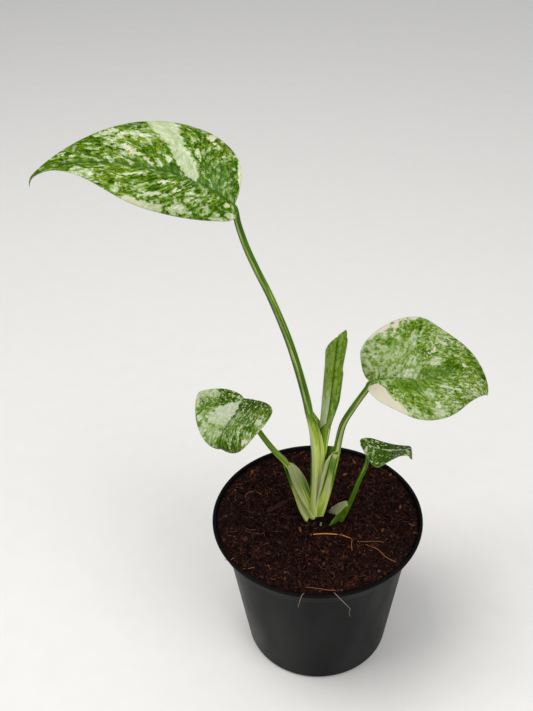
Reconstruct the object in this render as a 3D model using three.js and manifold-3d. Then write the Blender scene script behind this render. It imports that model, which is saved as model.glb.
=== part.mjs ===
// Potted variegated aroid with four open leaves and one rolled leaf in a 12 cm nursery pot.
// Millimetres, Z up. The origin is the middle of the pot's underside. The leaves spread along X,
// and the side that faces -Y is the front.

import * as THREE from 'three';
import Module from 'manifold-3d';

const wasm = await Module();
wasm.setup();

// Clearance that every piece keeps to its neighbours, and what is added to it where a piece is cut
// back, because the flat facets of the cutting shape lie inside its true curve
const GAP = 0.3;
const CUT_GROWTH = 0.4;
// Small steps under this size are smoothed away after a cut
const CUT_TOLERANCE = 0.02;

// Pot
const POT_HEIGHT = 94;
const POT_BASE_RADIUS = 42;
const POT_FOOT_CHAMFER = 1.5;
const POT_CONE_TOP = 85;
const POT_CONE_TOP_RADIUS = 53.5;
const POT_BAND_RADIUS = 57.6;
const POT_BAND_BOTTOM = 87;
const POT_LIP_RADIUS = 60;
const POT_LIP_HEIGHT = 1.4;
const POT_WALL = 1.1;
const POT_FLOOR = 1.6;
const POT_SEGMENTS = 48;
const DRAIN_COUNT = 8;
const DRAIN_RADIUS = 3.5;
const DRAIN_RING_RADIUS = 32;
const DRAIN_SEGMENTS = 10;

// Soil
const SOIL_RIM_HEIGHT = 90.6;
const SOIL_CROWN_RISE = 0.8;
const SOIL_RELIEF = 0.45;
const SOIL_RINGS = 9;
const SOIL_SEGMENTS = 48;

// Rootstock: a short stem with its main roots
const STEM_CENTRE = [-0.5, 0.4];
const STEM_PROFILE = [[0, 60], [2.6, 61], [3.6, 66], [5.2, 78], [6.2, 84], [5.2, 86.6], [0, 87.4]];
const STEM_SEGMENTS = 14;
const ROOT_COUNT = 6;
const ROOT_TOP = 74;
const ROOT_REACH = 30;
const ROOT_BOTTOM = 22;
const ROOT_RADIUS = 1.9;
const ROOT_TIP_RADIUS = 0.8;
const ROOT_SECTION_SIDES = 4;
const ROOT_STEPS = 6;

// Blades. The midrib starts at root and runs by heading (from +X towards +Y) and pitch (up), in
// degrees, given at even places from the junction to the tip. Where a value comes in pairs, roll,
// fold and cup run from junction to tip, and half, widest and lobe are the left and right sides.
const BLADE_THICKNESS = 0.8;
const MIDRIB_KEEL = 0.9;
const VEIN_LEAN = 1.5;
const BLADES = {
  tall: {
    root: [-38.5, 2.5, 290.5],
    heading: [162, 185, 162],
    pitch: [40, 17, 2, -48],
    roll: [-36, -21],
    length: 102,
    half: [20.5, 30.5],
    widest: [0.36, 0.21],
    lobe: [0.09, -0.02],
    tip: 0.3,
    fold: [9, 34],
    cup: [-46, -38],
    rows: 24,
    columns: 6,
  },
  right: {
    root: [27.7, 2.2, 188.8],
    heading: [-17, 13, 15],
    pitch: [33, -7, -18, -70],
    roll: [31, 53],
    length: 70.5,
    half: [32, 23],
    widest: [0.3, 0.31],
    lobe: [0.09, 0.06],
    tip: 0.1,
    fold: [33, 4.5],
    cup: [6, -57],
    rows: 20,
    columns: 6,
  },
  left: {
    root: [-38.8, 0.5, 178],
    heading: [254, 242, 249],
    pitch: [-8, -12, -46, -150],
    roll: [10, -6],
    length: 37,
    half: [27.5, 22.5],
    widest: [0.36, 0.27],
    lobe: [-0.04, 0.15],
    tip: 0.18,
    fold: [22, 14],
    cup: [12, 7],
    rows: 18,
    columns: 5,
  },
  low: {
    root: [24.2, 0, 148.3],
    heading: [1, -15, -12],
    pitch: [-24, -4, 25, -105],
    roll: [2, -9],
    length: 31,
    half: [7, 15.5],
    widest: [0.26, 0.38],
    lobe: [0.08, 0.08],
    tip: 0.1,
    fold: [11, 0],
    cup: [-11, -1],
    rows: 16,
    columns: 4,
  },
};

// Leaf stalks. Each row is a point of the stalk's centre line with the stalk's radius there, the
// half width of the sheath, or 0 where there is none, and how far round in degrees each half of
// the sheath bends. The sheath opens towards the given direction.
const SHEATH_THICKNESS = 0.8;
const STALKS = {
  tall: {
    opens: [1, -0.1, 0],
    steps: 22,
    points: [
      [-2.7, 0.4, 83.5, 1.9, 3.05, 100],
      [-2.5, 0.3, 92, 2, 3.55, 110],
      [-2.2, 0.4, 104, 2.1, 4.4, 130],
      [-1.6, 0.7, 121, 2.2, 5.1, 130],
      [-1.3, 1.1, 143, 2.3, 4.7, 110],
      [-2.2, 1.2, 158, 2.3, 3.8, 60],
      [-3.3, 1.2, 164, 2.25, 0, 0],
      [-6, 1.3, 179, 2.2, 0, 0],
      [-13.9, 1.5, 212.6, 1.95, 0, 0],
      [-26.7, 2, 256.4, 1.6, 0, 0],
      [-36, 2.4, 283, 1.45, 0, 0],
      [-38.2, 2.5, 289.6, 1.5, 0, 0],
    ],
  },
  right: {
    opens: [-1, -0.1, 0],
    steps: 19,
    points: [
      [3.2, -0.6, 83.5, 2.1, 3.6, 70],
      [3.8, -0.8, 92, 2.3, 4.1, 80],
      [5.7, -0.7, 104.8, 2.4, 4.9, 90],
      [7.7, 0.1, 119.9, 2.35, 5.3, 90],
      [9.9, 1, 135, 2.2, 4.4, 60],
      [11.1, 1.4, 143, 2.1, 0, 0],
      [13.3, 2, 160, 1.8, 0, 0],
      [17.1, 2, 170.1, 1.65, 0, 0],
      [21.6, 2, 178, 1.5, 0, 0],
      [25.6, 2.1, 185, 1.4, 0, 0],
      [27, 2.2, 187.5, 1.4, 0, 0],
    ],
  },
  left: {
    opens: [0.75, -0.6, 0.3],
    steps: 17,
    points: [
      [-3.6, -0.6, 83.5, 1.8, 3.5, 60],
      [-5.2, -1.5, 92.8, 2, 4.5, 80],
      [-7.8, -1.5, 101.6, 2, 6, 85],
      [-12.6, -1, 115.9, 1.9, 7, 75],
      [-16.2, -0.2, 128, 1.7, 5, 55],
      [-18, 0, 134, 1.6, 0, 0],
      [-23, 0.5, 142.8, 1.5, 0, 0],
      [-30.9, 2, 153.8, 1.35, 0, 0],
      [-37, 3.5, 166, 1.3, 0, 0],
      [-38.6, 1, 176.9, 1.3, 0, 0],
    ],
  },
  low: {
    opens: [-0.85, -0.45, 0.3],
    steps: 15,
    points: [
      [6.2, -1.8, 82, 1.6, 3, 40],
      [9, -2.6, 88, 1.7, 5, 45],
      [12.4, -3, 94.5, 1.7, 7, 55],
      [16.2, -2.5, 103.5, 1.5, 6, 55],
      [18.4, -2.1, 109, 1.35, 0, 0],
      [23, -1, 121.3, 1.2, 0, 0],
      [27.4, 0.3, 135, 1.1, 0, 0],
      [27, 0.6, 143, 1.1, 0, 0],
      [24.6, 0.1, 147.4, 1.1, 0, 0],
    ],
  },
  rolled: {
    opens: [0, -1, 0],
    steps: 12,
    points: [
      [0.55, 0.1, 84, 1, 0, 0],
      [0.95, 0, 92, 1.1, 0, 0],
      [1.45, 0.05, 104, 1.2, 0, 0],
      [2.45, 0.3, 121, 1.5, 0, 0],
      [3.1, 0.7, 143, 1.7, 0, 0],
      [5.2, 1.8, 158, 1.9, 0, 0],
      [7, 2.6, 166, 1.2, 0, 0],
    ],
  },
};
const ROD_STEPS = 2;
const SHEATH_STEPS = 3;

// Rolled new leaf: a spiral sheet round a leaning axis, from its outer edge at the front
const ROLL_AXIS = [[4.6, 1.8, 160], [7, 2, 185], [8.7, 2, 206], [10.4, 2.2, 221]];
const ROLL_RADII = [3.6, 4.9, 5.1, 6.2];
const ROLL_TURN = 500;
const ROLL_START = -75;
const ROLL_SHRINK = 1.7;
const ROLL_TOP = [216, 210.5, 216, 221, 211, 200];
const ROLL_BOTTOM = 160;
const ROLL_THICKNESS = 0.7;
const ROLL_COLUMNS = 26;
const ROLL_ROWS = 7;

// Colours
const POT_BLACK = 0x0c0c0e;
const SOIL_BROWN = 0x2b1a14;
const ROOT_BUFF = 0xb9a27c;
const STALK_GREEN = 0x86a552;
const BLADE_GREEN = 0x6f9a4a;
const ROLLED_GREEN = 0xa3c06c;

const radians = THREE.MathUtils.degToRad;
const lerp = THREE.MathUtils.lerp;

// Value at t of the smooth curve through evenly spaced values from 0 to 1
function through(values, t) {
  const last = values.length - 1;
  let total = 0;
  for (let i = 0; i <= last; i++) {
    let weight = values[i];
    for (let j = 0; j <= last; j++) {
      if (j !== i) {
        weight *= (t * last - j) / (i - j);
      }
    }
    total += weight;
  }
  return total;
}

// Value at t of the broken line through evenly spaced values from 0 to 1
function along(values, t) {
  const place = THREE.MathUtils.clamp(t, 0, 1) * (values.length - 1);
  const i = Math.min(Math.floor(place), values.length - 2);
  return lerp(values[i], values[i + 1], place - i);
}

// Points that lie together become one, and faces that collapse are dropped
function weld(points, faces) {
  const places = new Map();
  const kept = [];
  const index = points.map((point) => {
    const key = point.toArray().map((value) => Math.round(value * 1e4)).join(' ');
    if (!places.has(key)) {
      places.set(key, kept.length);
      kept.push(point);
    }
    return places.get(key);
  });
  const solidFaces = faces
    .map((face) => face.map((corner) => index[corner]))
    .filter(([a, b, c]) => a !== b && b !== c && c !== a);
  return { points: kept, faces: solidFaces, index };
}

function toSolid({ points, faces }) {
  const mesh = new wasm.Mesh({
    numProp: 3,
    vertProperties: new Float32Array(points.flatMap((point) => point.toArray())),
    triVerts: new Uint32Array(faces.flat()),
  });
  return new wasm.Manifold(mesh);
}

function toGeometry(solid) {
  const mesh = solid.getMesh();
  const geometry = new THREE.BufferGeometry();
  geometry.setAttribute('position', new THREE.Float32BufferAttribute(mesh.vertProperties, 3));
  geometry.setIndex(Array.from(mesh.triVerts));
  geometry.computeVertexNormals();
  return geometry;
}

// The body of a cut solid that is left when its small scraps are dropped
function largest(solid) {
  const bodies = solid.simplify(CUT_TOLERANCE).decompose();
  return bodies.reduce((best, body) => (body.volume() > best.volume() ? body : best));
}

// Round solid from a profile that starts and ends on the axis
function turned(profile, segments) {
  const outline = profile.map(([radius, height]) => new THREE.Vector2(radius, height));
  const lathe = new THREE.LatheGeometry(outline, segments).rotateX(Math.PI / 2);
  const position = lathe.getAttribute('position');
  const points = Array.from({ length: position.count }, (_, i) =>
    new THREE.Vector3().fromBufferAttribute(position, i));
  const order = Array.from(lathe.getIndex().array);
  const faces = Array.from({ length: order.length / 3 }, (_, i) => order.slice(3 * i, 3 * i + 3));
  return welded(points, faces);
}

// Solid from loose faces, turned outwards where they all point in
function welded(points, faces) {
  const mesh = weld(points, faces);
  let volume = 0;
  for (const [a, b, c] of mesh.faces) {
    const cross = mesh.points[b].clone().cross(mesh.points[c]);
    volume += mesh.points[a].dot(cross);
  }
  if (volume < 0) {
    mesh.faces = mesh.faces.map(([a, b, c]) => [a, c, b]);
  }
  return toSolid(mesh);
}

// Two triangles for each cell of a grid of rows and columns, split alike everywhere
function gridFaces(rows, columns, start = 0) {
  const faces = [];
  for (let i = 0; i < rows; i++) {
    for (let j = 0; j < columns; j++) {
      const a = start + i * (columns + 1) + j;
      const b = a + columns + 1;
      faces.push([a, a + 1, b + 1], [a, b + 1, b]);
    }
  }
  return faces;
}

// Closed thin solid from a sheet of points: an upper and a lower face on the same triangles, at
// half the thickness from the sheet, joined by a wall round the open edge
function thickened(points, faces, above, below) {
  const sheet = weld(points, faces);
  const normals = sheet.points.map(() => new THREE.Vector3());
  const edges = new Map();
  for (const face of sheet.faces) {
    const [a, b, c] = face.map((corner) => sheet.points[corner]);
    const normal = b.clone().sub(a).cross(c.clone().sub(a));
    face.forEach((corner, k) => {
      normals[corner].add(normal);
      edges.set(`${corner} ${face[(k + 1) % 3]}`, [corner, face[(k + 1) % 3]]);
    });
  }
  const depth = new Array(sheet.points.length).fill(0);
  sheet.index.forEach((corner, i) => {
    depth[corner] = Math.max(depth[corner], below[i]);
  });
  const count = sheet.points.length;
  const upper = sheet.points.map((p, i) => p.clone().addScaledVector(normals[i].normalize(), above));
  const lower = sheet.points.map((p, i) => p.clone().addScaledVector(normals[i], -depth[i]));
  const both = sheet.faces.flatMap(([a, b, c]) => [[a, b, c], [a + count, c + count, b + count]]);
  for (const [a, b] of edges.values()) {
    if (!edges.has(`${b} ${a}`)) {
      both.push([a, a + count, b + count], [a, b + count, b]);
    }
  }
  return welded([...upper, ...lower], both);
}

// Flat half outline of a blade as two cubic curves: from the junction round the lobe to the
// widest place, and from there to the tip. Gives the distance along and across at t.
function halfOutline(blade, side, t) {
  const { length, tip } = blade;
  const half = blade.half[side];
  const lobe = blade.lobe[side] * length;
  const widest = blade.widest[side] * length;
  const first = new THREE.CubicBezierCurve(
    new THREE.Vector2(0, 0),
    new THREE.Vector2(-1.33 * lobe, 0.18 * half),
    new THREE.Vector2(widest - 0.62 * (widest + lobe), half),
    new THREE.Vector2(widest, half),
  );
  const second = new THREE.CubicBezierCurve(
    new THREE.Vector2(widest, half),
    new THREE.Vector2(widest + 0.48 * (length - widest), half),
    new THREE.Vector2(length - tip * length, 0.1 * half),
    new THREE.Vector2(length, 0),
  );
  return t < 0.5 ? first.getPoint(2 * t) : second.getPoint(2 * t - 1);
}

// Midrib: places, directions, sideways axes and face normals at even steps
function midrib(blade) {
  const count = 160;
  const frames = [];
  const place = new THREE.Vector3(...blade.root);
  const step = blade.length / count;
  for (let i = 0; i <= count; i++) {
    const u = i / count;
    const heading = radians(through(blade.heading, u));
    const pitch = radians(through(blade.pitch, u));
    const roll = radians(lerp(...blade.roll, u));
    const ahead = new THREE.Vector3(
      Math.cos(heading) * Math.cos(pitch),
      Math.sin(heading) * Math.cos(pitch),
      Math.sin(pitch),
    );
    const level = new THREE.Vector3(-Math.sin(heading), Math.cos(heading), 0);
    const up = ahead.clone().cross(level);
    const across = level.clone().multiplyScalar(Math.cos(roll)).addScaledVector(up, Math.sin(roll));
    const normal = up.clone().multiplyScalar(Math.cos(roll)).addScaledVector(level, -Math.sin(roll));
    if (i > 0) {
      place.addScaledVector(ahead, step / 2).addScaledVector(frames[i - 1].ahead, step / 2);
    }
    frames.push({ place: place.clone(), ahead, across, normal });
  }
  return frames;
}

// Point of the blade at distance along its midrib and across it, to the left for sign 1. Each
// half leaves the midrib at the fold angle and bends by the cup angle up to its widest.
function bladePoint(blade, frames, side, x, y) {
  const sign = side === 0 ? 1 : -1;
  const held = THREE.MathUtils.clamp(x, 0, blade.length);
  const place = (held / blade.length) * (frames.length - 1);
  const i = Math.min(Math.floor(place), frames.length - 2);
  const mix = (name) => frames[i][name].clone().lerp(frames[i + 1][name], place - i);
  const fold = radians(lerp(...blade.fold, held / blade.length));
  const cup = radians(lerp(...blade.cup, held / blade.length));
  const half = blade.half[side];
  const bend = (cup * y) / half;
  const out = (half * (Math.sin(fold + bend) - Math.sin(fold))) / cup;
  const rise = (half * (Math.cos(fold) - Math.cos(fold + bend))) / cup;
  return mix('place')
    .addScaledVector(mix('ahead'), x - held)
    .addScaledVector(mix('across'), sign * out)
    .addScaledVector(mix('normal'), rise);
}

// Blade solid: rows run from the midrib to the margin along the side veins, which lean forward.
// The midrib stands out below as a keel that fades towards the tip.
function bladeSolid(blade, grow = 0) {
  const { rows, columns } = blade;
  const frames = midrib(blade);
  const points = [];
  const below = [];
  for (let i = 0; i <= rows; i++) {
    const t = i / rows;
    const onRib = blade.length * t ** VEIN_LEAN;
    for (let j = -columns; j <= columns; j++) {
      const side = j < 0 ? 0 : 1;
      const v = (Math.abs(j) / columns) ** 1.2;
      const edge = halfOutline(blade, side, t);
      points.push(bladePoint(blade, frames, side, lerp(onRib, edge.x, v), edge.y * v));
      const keel = j === 0 ? MIDRIB_KEEL * (1 - t) * Math.min(5 * t, 1) : 0;
      below.push(BLADE_THICKNESS / 2 + keel + grow);
    }
  }
  const faces = gridFaces(rows, 2 * columns).map(([a, b, c]) => [a, c, b]);
  return thickened(points, faces, BLADE_THICKNESS / 2 + grow, below);
}

// Cross-section of a stalk as pairs of an outer and an inner place. A round rod of the given
// radius carries a sheath sheet on its inner side, bent round in an arc.
function stalkSection(radius, wing, wrap, grow) {
  const rod = radius + grow;
  const reach = Math.max(radius, wing) + grow;
  const sheet = SHEATH_THICKNESS / 2 + grow;
  const share = THREE.MathUtils.clamp(1.5 * (Math.max(radius, wing) / radius - 1), 0, 1);
  const level = share * (radius - SHEATH_THICKNESS / 2);
  const bend = Math.max(radians(wrap), 1e-4) / Math.max(radius, wing);
  const core = Math.min(rod, 0.72 * reach);
  const section = [];
  for (let j = -ROD_STEPS - SHEATH_STEPS; j <= ROD_STEPS + SHEATH_STEPS; j++) {
    const onSheath = Math.max(Math.abs(j) - ROD_STEPS, 0) / SHEATH_STEPS;
    const onRod = Math.min(Math.abs(j) / ROD_STEPS, 1);
    const a = Math.sign(j) * (core * Math.sin((Math.PI / 2) * onRod)
      + (reach - core) * Math.sin((Math.PI / 2) * onSheath));
    const round = Math.sqrt(Math.max(rod * rod - a * a, 0));
    const edge = sheet * Math.sqrt(Math.max(1 - (a / reach) ** 2, 0));
    const outer = Math.abs(a) < rod ? Math.min(-round, level - edge) : level - edge;
    const inner = Math.max(level + edge, (1 - share) * round);
    const place = (y) => [
      (1 / bend - (y - level)) * Math.sin(a * bend),
      level + 1 / bend - (1 / bend - (y - level)) * Math.cos(a * bend),
    ];
    section.push([place(outer), place(inner)]);
  }
  return section;
}

// Solid swept from its sections. Every ring goes out along the outer places and back along the
// inner ones, and the ends are closed between the two.
function sweptSolid(rings) {
  const pairs = rings[0].length;
  const around = 2 * pairs - 2;
  const points = [];
  for (const ring of rings) {
    points.push(...ring.map(([outer]) => outer));
    points.push(...ring.slice(1, -1).reverse().map(([, inner]) => inner));
  }
  const faces = [];
  for (let i = 0; i < rings.length - 1; i++) {
    for (let j = 0; j < around; j++) {
      const a = i * around + j;
      const b = i * around + ((j + 1) % around);
      faces.push([a, b, b + around], [a, b + around, a + around]);
    }
  }
  const innerPlace = (j) => (j === 0 ? 0 : j === pairs - 1 ? pairs - 1 : around - j);
  for (let j = 0; j < pairs - 1; j++) {
    const cell = [j, j + 1, innerPlace(j + 1), innerPlace(j)];
    const top = cell.map((corner) => corner + (rings.length - 1) * around);
    faces.push([cell[0], cell[2], cell[1]], [cell[0], cell[3], cell[2]]);
    faces.push([top[0], top[1], top[2]], [top[0], top[2], top[3]]);
  }
  return welded(points, faces);
}

function stalkSolid(stalk, grow = 0) {
  const curve = new THREE.CatmullRomCurve3(
    stalk.points.map(([x, y, z]) => new THREE.Vector3(x, y, z)), false, 'centripetal');
  const opens = new THREE.Vector3(...stalk.opens);
  const rings = [];
  for (let i = 0; i <= stalk.steps; i++) {
    const t = i / stalk.steps;
    const ahead = curve.getTangent(t);
    const inward = opens.clone().addScaledVector(ahead, -opens.dot(ahead)).normalize();
    const across = ahead.clone().cross(inward);
    const ends = i === 0 ? -1 : i === stalk.steps ? 1 : 0;
    const centre = curve.getPoint(t).addScaledVector(ahead, ends * grow);
    const value = (k) => along(stalk.points.map((row) => row[k]), t);
    const section = stalkSection(value(3), value(4), value(5), grow);
    rings.push(section.map((pair) => pair.map(([a, y]) =>
      centre.clone().addScaledVector(across, a).addScaledVector(inward, y))));
  }
  return sweptSolid(rings);
}

// Rolled leaf: each column of the sheet stands at an angle round the axis and a little nearer to
// it than the column before, and ends at the slanting top edge
function rolledSolid(grow = 0) {
  const axis = new THREE.CatmullRomCurve3(ROLL_AXIS.map((point) => new THREE.Vector3(...point)));
  const low = ROLL_AXIS[0][2];
  const high = ROLL_AXIS[ROLL_AXIS.length - 1][2];
  const points = [];
  for (let i = 0; i <= ROLL_ROWS; i++) {
    for (let j = 0; j <= ROLL_COLUMNS; j++) {
      const turn = j / ROLL_COLUMNS;
      const height = lerp(ROLL_BOTTOM, along(ROLL_TOP, turn), i / ROLL_ROWS);
      const level = (height - low) / (high - low);
      const centre = axis.getPoint(THREE.MathUtils.clamp(level, 0, 1));
      const radius = along(ROLL_RADII, level) - ROLL_SHRINK * turn;
      const angle = radians(ROLL_START - ROLL_TURN * turn);
      points.push(new THREE.Vector3(
        centre.x + radius * Math.cos(angle),
        centre.y + radius * Math.sin(angle),
        height,
      ));
    }
  }
  const half = ROLL_THICKNESS / 2 + grow;
  return thickened(points, gridFaces(ROLL_ROWS, ROLL_COLUMNS), half, points.map(() => half));
}

// Radius of the pot's outside at a height: a cone, a short step and an upright band
function potOutside(height) {
  const onCone = lerp(POT_BASE_RADIUS, POT_CONE_TOP_RADIUS, height / POT_CONE_TOP);
  const onStep = (height - POT_CONE_TOP) / (POT_BAND_BOTTOM - POT_CONE_TOP);
  return height <= POT_CONE_TOP
    ? onCone
    : lerp(POT_CONE_TOP_RADIUS, POT_BAND_RADIUS, Math.min(onStep, 1));
}

function potSolid() {
  const inside = (height) => [potOutside(height) - POT_WALL, height];
  const profile = [
    [0, 0],
    [POT_BASE_RADIUS - POT_FOOT_CHAMFER, 0],
    [potOutside(POT_FOOT_CHAMFER), POT_FOOT_CHAMFER],
    [potOutside(POT_CONE_TOP), POT_CONE_TOP],
    [potOutside(POT_BAND_BOTTOM), POT_BAND_BOTTOM],
    [POT_BAND_RADIUS, POT_HEIGHT - POT_LIP_HEIGHT],
    [POT_LIP_RADIUS, POT_HEIGHT - POT_LIP_HEIGHT],
    [POT_LIP_RADIUS, POT_HEIGHT],
    inside(POT_HEIGHT),
    inside(POT_BAND_BOTTOM),
    inside(POT_CONE_TOP),
    inside(POT_FLOOR),
    [0, POT_FLOOR],
  ];
  let pot = turned(profile, POT_SEGMENTS);
  for (let i = 0; i < DRAIN_COUNT; i++) {
    const angle = (2 * Math.PI * i) / DRAIN_COUNT;
    const hole = turned(
      [[0, -1], [DRAIN_RADIUS, -1], [DRAIN_RADIUS, POT_FLOOR + 1], [0, POT_FLOOR + 1]],
      DRAIN_SEGMENTS,
    );
    const place = [DRAIN_RING_RADIUS * Math.cos(angle), DRAIN_RING_RADIUS * Math.sin(angle), 0];
    pot = pot.subtract(hole.translate(place));
  }
  return pot;
}

// Height of the soil: highest at the crown, with lumps made of crossing waves that fade at the rim
function soilHeight(x, y, reach) {
  const share = Math.hypot(x, y) / reach;
  const lumps = Math.sin(0.31 * x + 1.2) * Math.sin(0.27 * y + 0.4)
    + 0.8 * Math.sin(0.52 * x - 0.35 * y + 2.1) + 0.6 * Math.sin(0.2 * x + 0.61 * y);
  return SOIL_RIM_HEIGHT + SOIL_CROWN_RISE * (1 - share * share)
    + SOIL_RELIEF * lumps * (1 - share ** 6);
}

// Soil body: a bumpy top disc, then down the inside of the pot at the clearance, and its floor
function soilSolid() {
  const inside = (height) => potOutside(height) - POT_WALL - GAP;
  const reach = inside(POT_HEIGHT);
  const bottom = POT_FLOOR + GAP;
  const wall = [
    [reach, POT_BAND_BOTTOM + GAP],
    [inside(POT_CONE_TOP), POT_CONE_TOP + GAP],
    [inside(bottom), bottom],
    [0, bottom],
  ];
  const points = [];
  for (let i = 0; i <= SOIL_RINGS + wall.length; i++) {
    for (let j = 0; j <= SOIL_SEGMENTS; j++) {
      const angle = (2 * Math.PI * (j % SOIL_SEGMENTS)) / SOIL_SEGMENTS;
      const onTop = i <= SOIL_RINGS;
      const radius = onTop ? (reach * i) / SOIL_RINGS : wall[i - SOIL_RINGS - 1][0];
      const x = radius * Math.cos(angle);
      const y = radius * Math.sin(angle);
      const z = onTop ? soilHeight(x, y, reach) : wall[i - SOIL_RINGS - 1][1];
      points.push(new THREE.Vector3(x, y, z));
    }
  }
  return welded(points, gridFaces(SOIL_RINGS + wall.length, SOIL_SEGMENTS));
}

// One main root: out from the stem and down in a curve, with every other root held shorter
function rootSolid(index, grow) {
  const angle = (2 * Math.PI * (index + 0.3)) / ROOT_COUNT;
  const reach = ROOT_REACH * (index % 2 === 0 ? 1 : 0.72);
  const bottom = ROOT_BOTTOM + 9 * (index % 3);
  const at = (radius, height, turn) => new THREE.Vector3(
    STEM_CENTRE[0] + radius * Math.cos(angle + turn),
    STEM_CENTRE[1] + radius * Math.sin(angle + turn),
    height,
  );
  const curve = new THREE.CatmullRomCurve3([
    at(0.5, ROOT_TOP, 0),
    at(0.45 * reach, ROOT_TOP - 8, 0.1),
    at(0.85 * reach, lerp(ROOT_TOP, bottom, 0.5), 0.35),
    at(reach, bottom, 0.3),
  ]);
  const rings = [];
  const side = new THREE.Vector3(-Math.sin(angle), Math.cos(angle), 0);
  for (let i = 0; i <= ROOT_STEPS; i++) {
    const t = i / ROOT_STEPS;
    const ahead = curve.getTangent(t);
    const across = side.clone().addScaledVector(ahead, -side.dot(ahead)).normalize();
    const outward = ahead.clone().cross(across);
    const radius = lerp(ROOT_RADIUS, ROOT_TIP_RADIUS, t) + grow;
    const centre = curve.getPoint(t).addScaledVector(ahead, i === ROOT_STEPS ? grow : 0);
    const pairs = [];
    for (let j = 0; j < ROOT_SECTION_SIDES; j++) {
      const turn = (Math.PI * j) / (ROOT_SECTION_SIDES - 1);
      const place = (sign) => centre.clone()
        .addScaledVector(across, -radius * Math.cos(turn))
        .addScaledVector(outward, sign * radius * Math.sin(turn));
      pairs.push([place(-1), place(1)]);
    }
    rings.push(pairs);
  }
  return sweptSolid(rings);
}

function rootstockSolid(grow = 0) {
  const profile = STEM_PROFILE.map(([radius, height], i) => [
    radius === 0 ? 0 : radius + grow,
    height + (i === 0 ? -grow : i >= STEM_PROFILE.length - 2 ? grow : 0),
  ]);
  let solid = turned(profile, STEM_SEGMENTS).translate([...STEM_CENTRE, 0]);
  for (let i = 0; i < ROOT_COUNT; i++) {
    solid = solid.add(rootSolid(i, grow));
  }
  return largest(solid);
}

// Every stalk is cut back to the clearance from what it wraps or stands on: its own blade, the
// rootstock and the stalks inside it, which are listed first
function stalkSolids() {
  const rootstock = rootstockSolid(CUT_GROWTH);
  const solids = {};
  const grown = [];
  for (const name of ['rolled', 'tall', 'right', 'left', 'low']) {
    const blade = name === 'rolled' ? rolledSolid(GAP) : bladeSolid(BLADES[name], GAP);
    let solid = stalkSolid(STALKS[name]).subtract(rootstock).subtract(blade);
    for (const inner of grown) {
      solid = solid.subtract(inner);
    }
    solids[name] = largest(solid);
    grown.push(stalkSolid(STALKS[name], CUT_GROWTH));
  }
  return solids;
}

function piece(name, solid, color, roughness) {
  const material = new THREE.MeshStandardMaterial({ color, roughness, metalness: 0 });
  const mesh = new THREE.Mesh(toGeometry(solid), material);
  mesh.name = name;
  return mesh;
}

const plant = new THREE.Group();
const stalks = stalkSolids();
let soil = soilSolid().subtract(rootstockSolid(CUT_GROWTH));
for (const stalk of Object.values(STALKS)) {
  soil = soil.subtract(stalkSolid(stalk, CUT_GROWTH));
}

plant.add(piece('pot', potSolid(), POT_BLACK, 0.4));
plant.add(piece('soil', largest(soil), SOIL_BROWN, 1));
plant.add(piece('rootstock', rootstockSolid(), ROOT_BUFF, 0.9));
for (const [name, solid] of Object.entries(stalks)) {
  plant.add(piece(`stalk_${name}`, solid, STALK_GREEN, 0.5));
}
for (const [name, blade] of Object.entries(BLADES)) {
  plant.add(piece(`blade_${name}`, bladeSolid(blade), BLADE_GREEN, 0.5));
}
plant.add(piece('blade_rolled', rolledSolid(), ROLLED_GREEN, 0.5));

export default plant;
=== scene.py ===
"""A young variegated aroid with four open leaves and one rolled leaf, in a round nursery pot.

Metres, Z up, the pot's underside on the floor and its axis on the origin. The tables of the plant
are in millimetres, as the part's source has them, and are turned into metres by MM.
"""

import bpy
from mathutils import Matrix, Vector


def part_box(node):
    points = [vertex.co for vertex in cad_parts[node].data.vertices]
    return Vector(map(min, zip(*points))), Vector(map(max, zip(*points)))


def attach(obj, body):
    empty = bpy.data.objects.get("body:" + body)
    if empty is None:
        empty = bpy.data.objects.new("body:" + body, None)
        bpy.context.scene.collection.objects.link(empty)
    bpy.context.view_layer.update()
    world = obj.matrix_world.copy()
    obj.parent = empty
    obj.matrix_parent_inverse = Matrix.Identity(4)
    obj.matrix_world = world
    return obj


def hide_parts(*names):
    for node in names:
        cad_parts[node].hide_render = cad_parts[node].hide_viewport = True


bl_info = {
    "name": "Potted Variegated Aroid",
    "version": (1, 0, 0),
    "blender": (4, 5, 0),
    "location": "3D View > Sidebar > Aroid",
    "description": "Builds a young variegated aroid in its nursery pot around the packed frame",
    "category": "Add Mesh",
}

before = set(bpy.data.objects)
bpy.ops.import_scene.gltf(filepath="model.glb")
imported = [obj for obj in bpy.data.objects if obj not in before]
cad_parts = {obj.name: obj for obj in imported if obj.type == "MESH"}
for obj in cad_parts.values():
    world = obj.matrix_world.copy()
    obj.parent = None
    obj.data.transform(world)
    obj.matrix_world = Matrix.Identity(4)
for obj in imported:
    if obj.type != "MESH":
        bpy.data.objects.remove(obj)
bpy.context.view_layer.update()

from math import radians

import bmesh
import bpy
import numpy as np
from mathutils import Matrix, Vector

MM = 0.001

# Pot: heights and radii that are not read from the frame
POT_FOOT_CHAMFER = 1.5 * MM
POT_CONE_TOP = 85 * MM
POT_CONE_TOP_RADIUS = 53.5 * MM
POT_BAND_BOTTOM = 87 * MM
POT_BAND_RADIUS = 57.6 * MM
POT_BAND_FLARE = 1.4 * MM
POT_LIP_HEIGHT = 1.4 * MM
POT_FLOOR = 1.6 * MM
POT_SEGMENTS = 160
POT_ROUNDING = 0.6 * MM
CORNER_STEPS = 4
DRAIN_COUNT = 8
DRAIN_RADIUS = 3.5 * MM
DRAIN_RING_RADIUS = 32 * MM
FLOOR_CENTRE_RADIUS = 24 * MM

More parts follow.
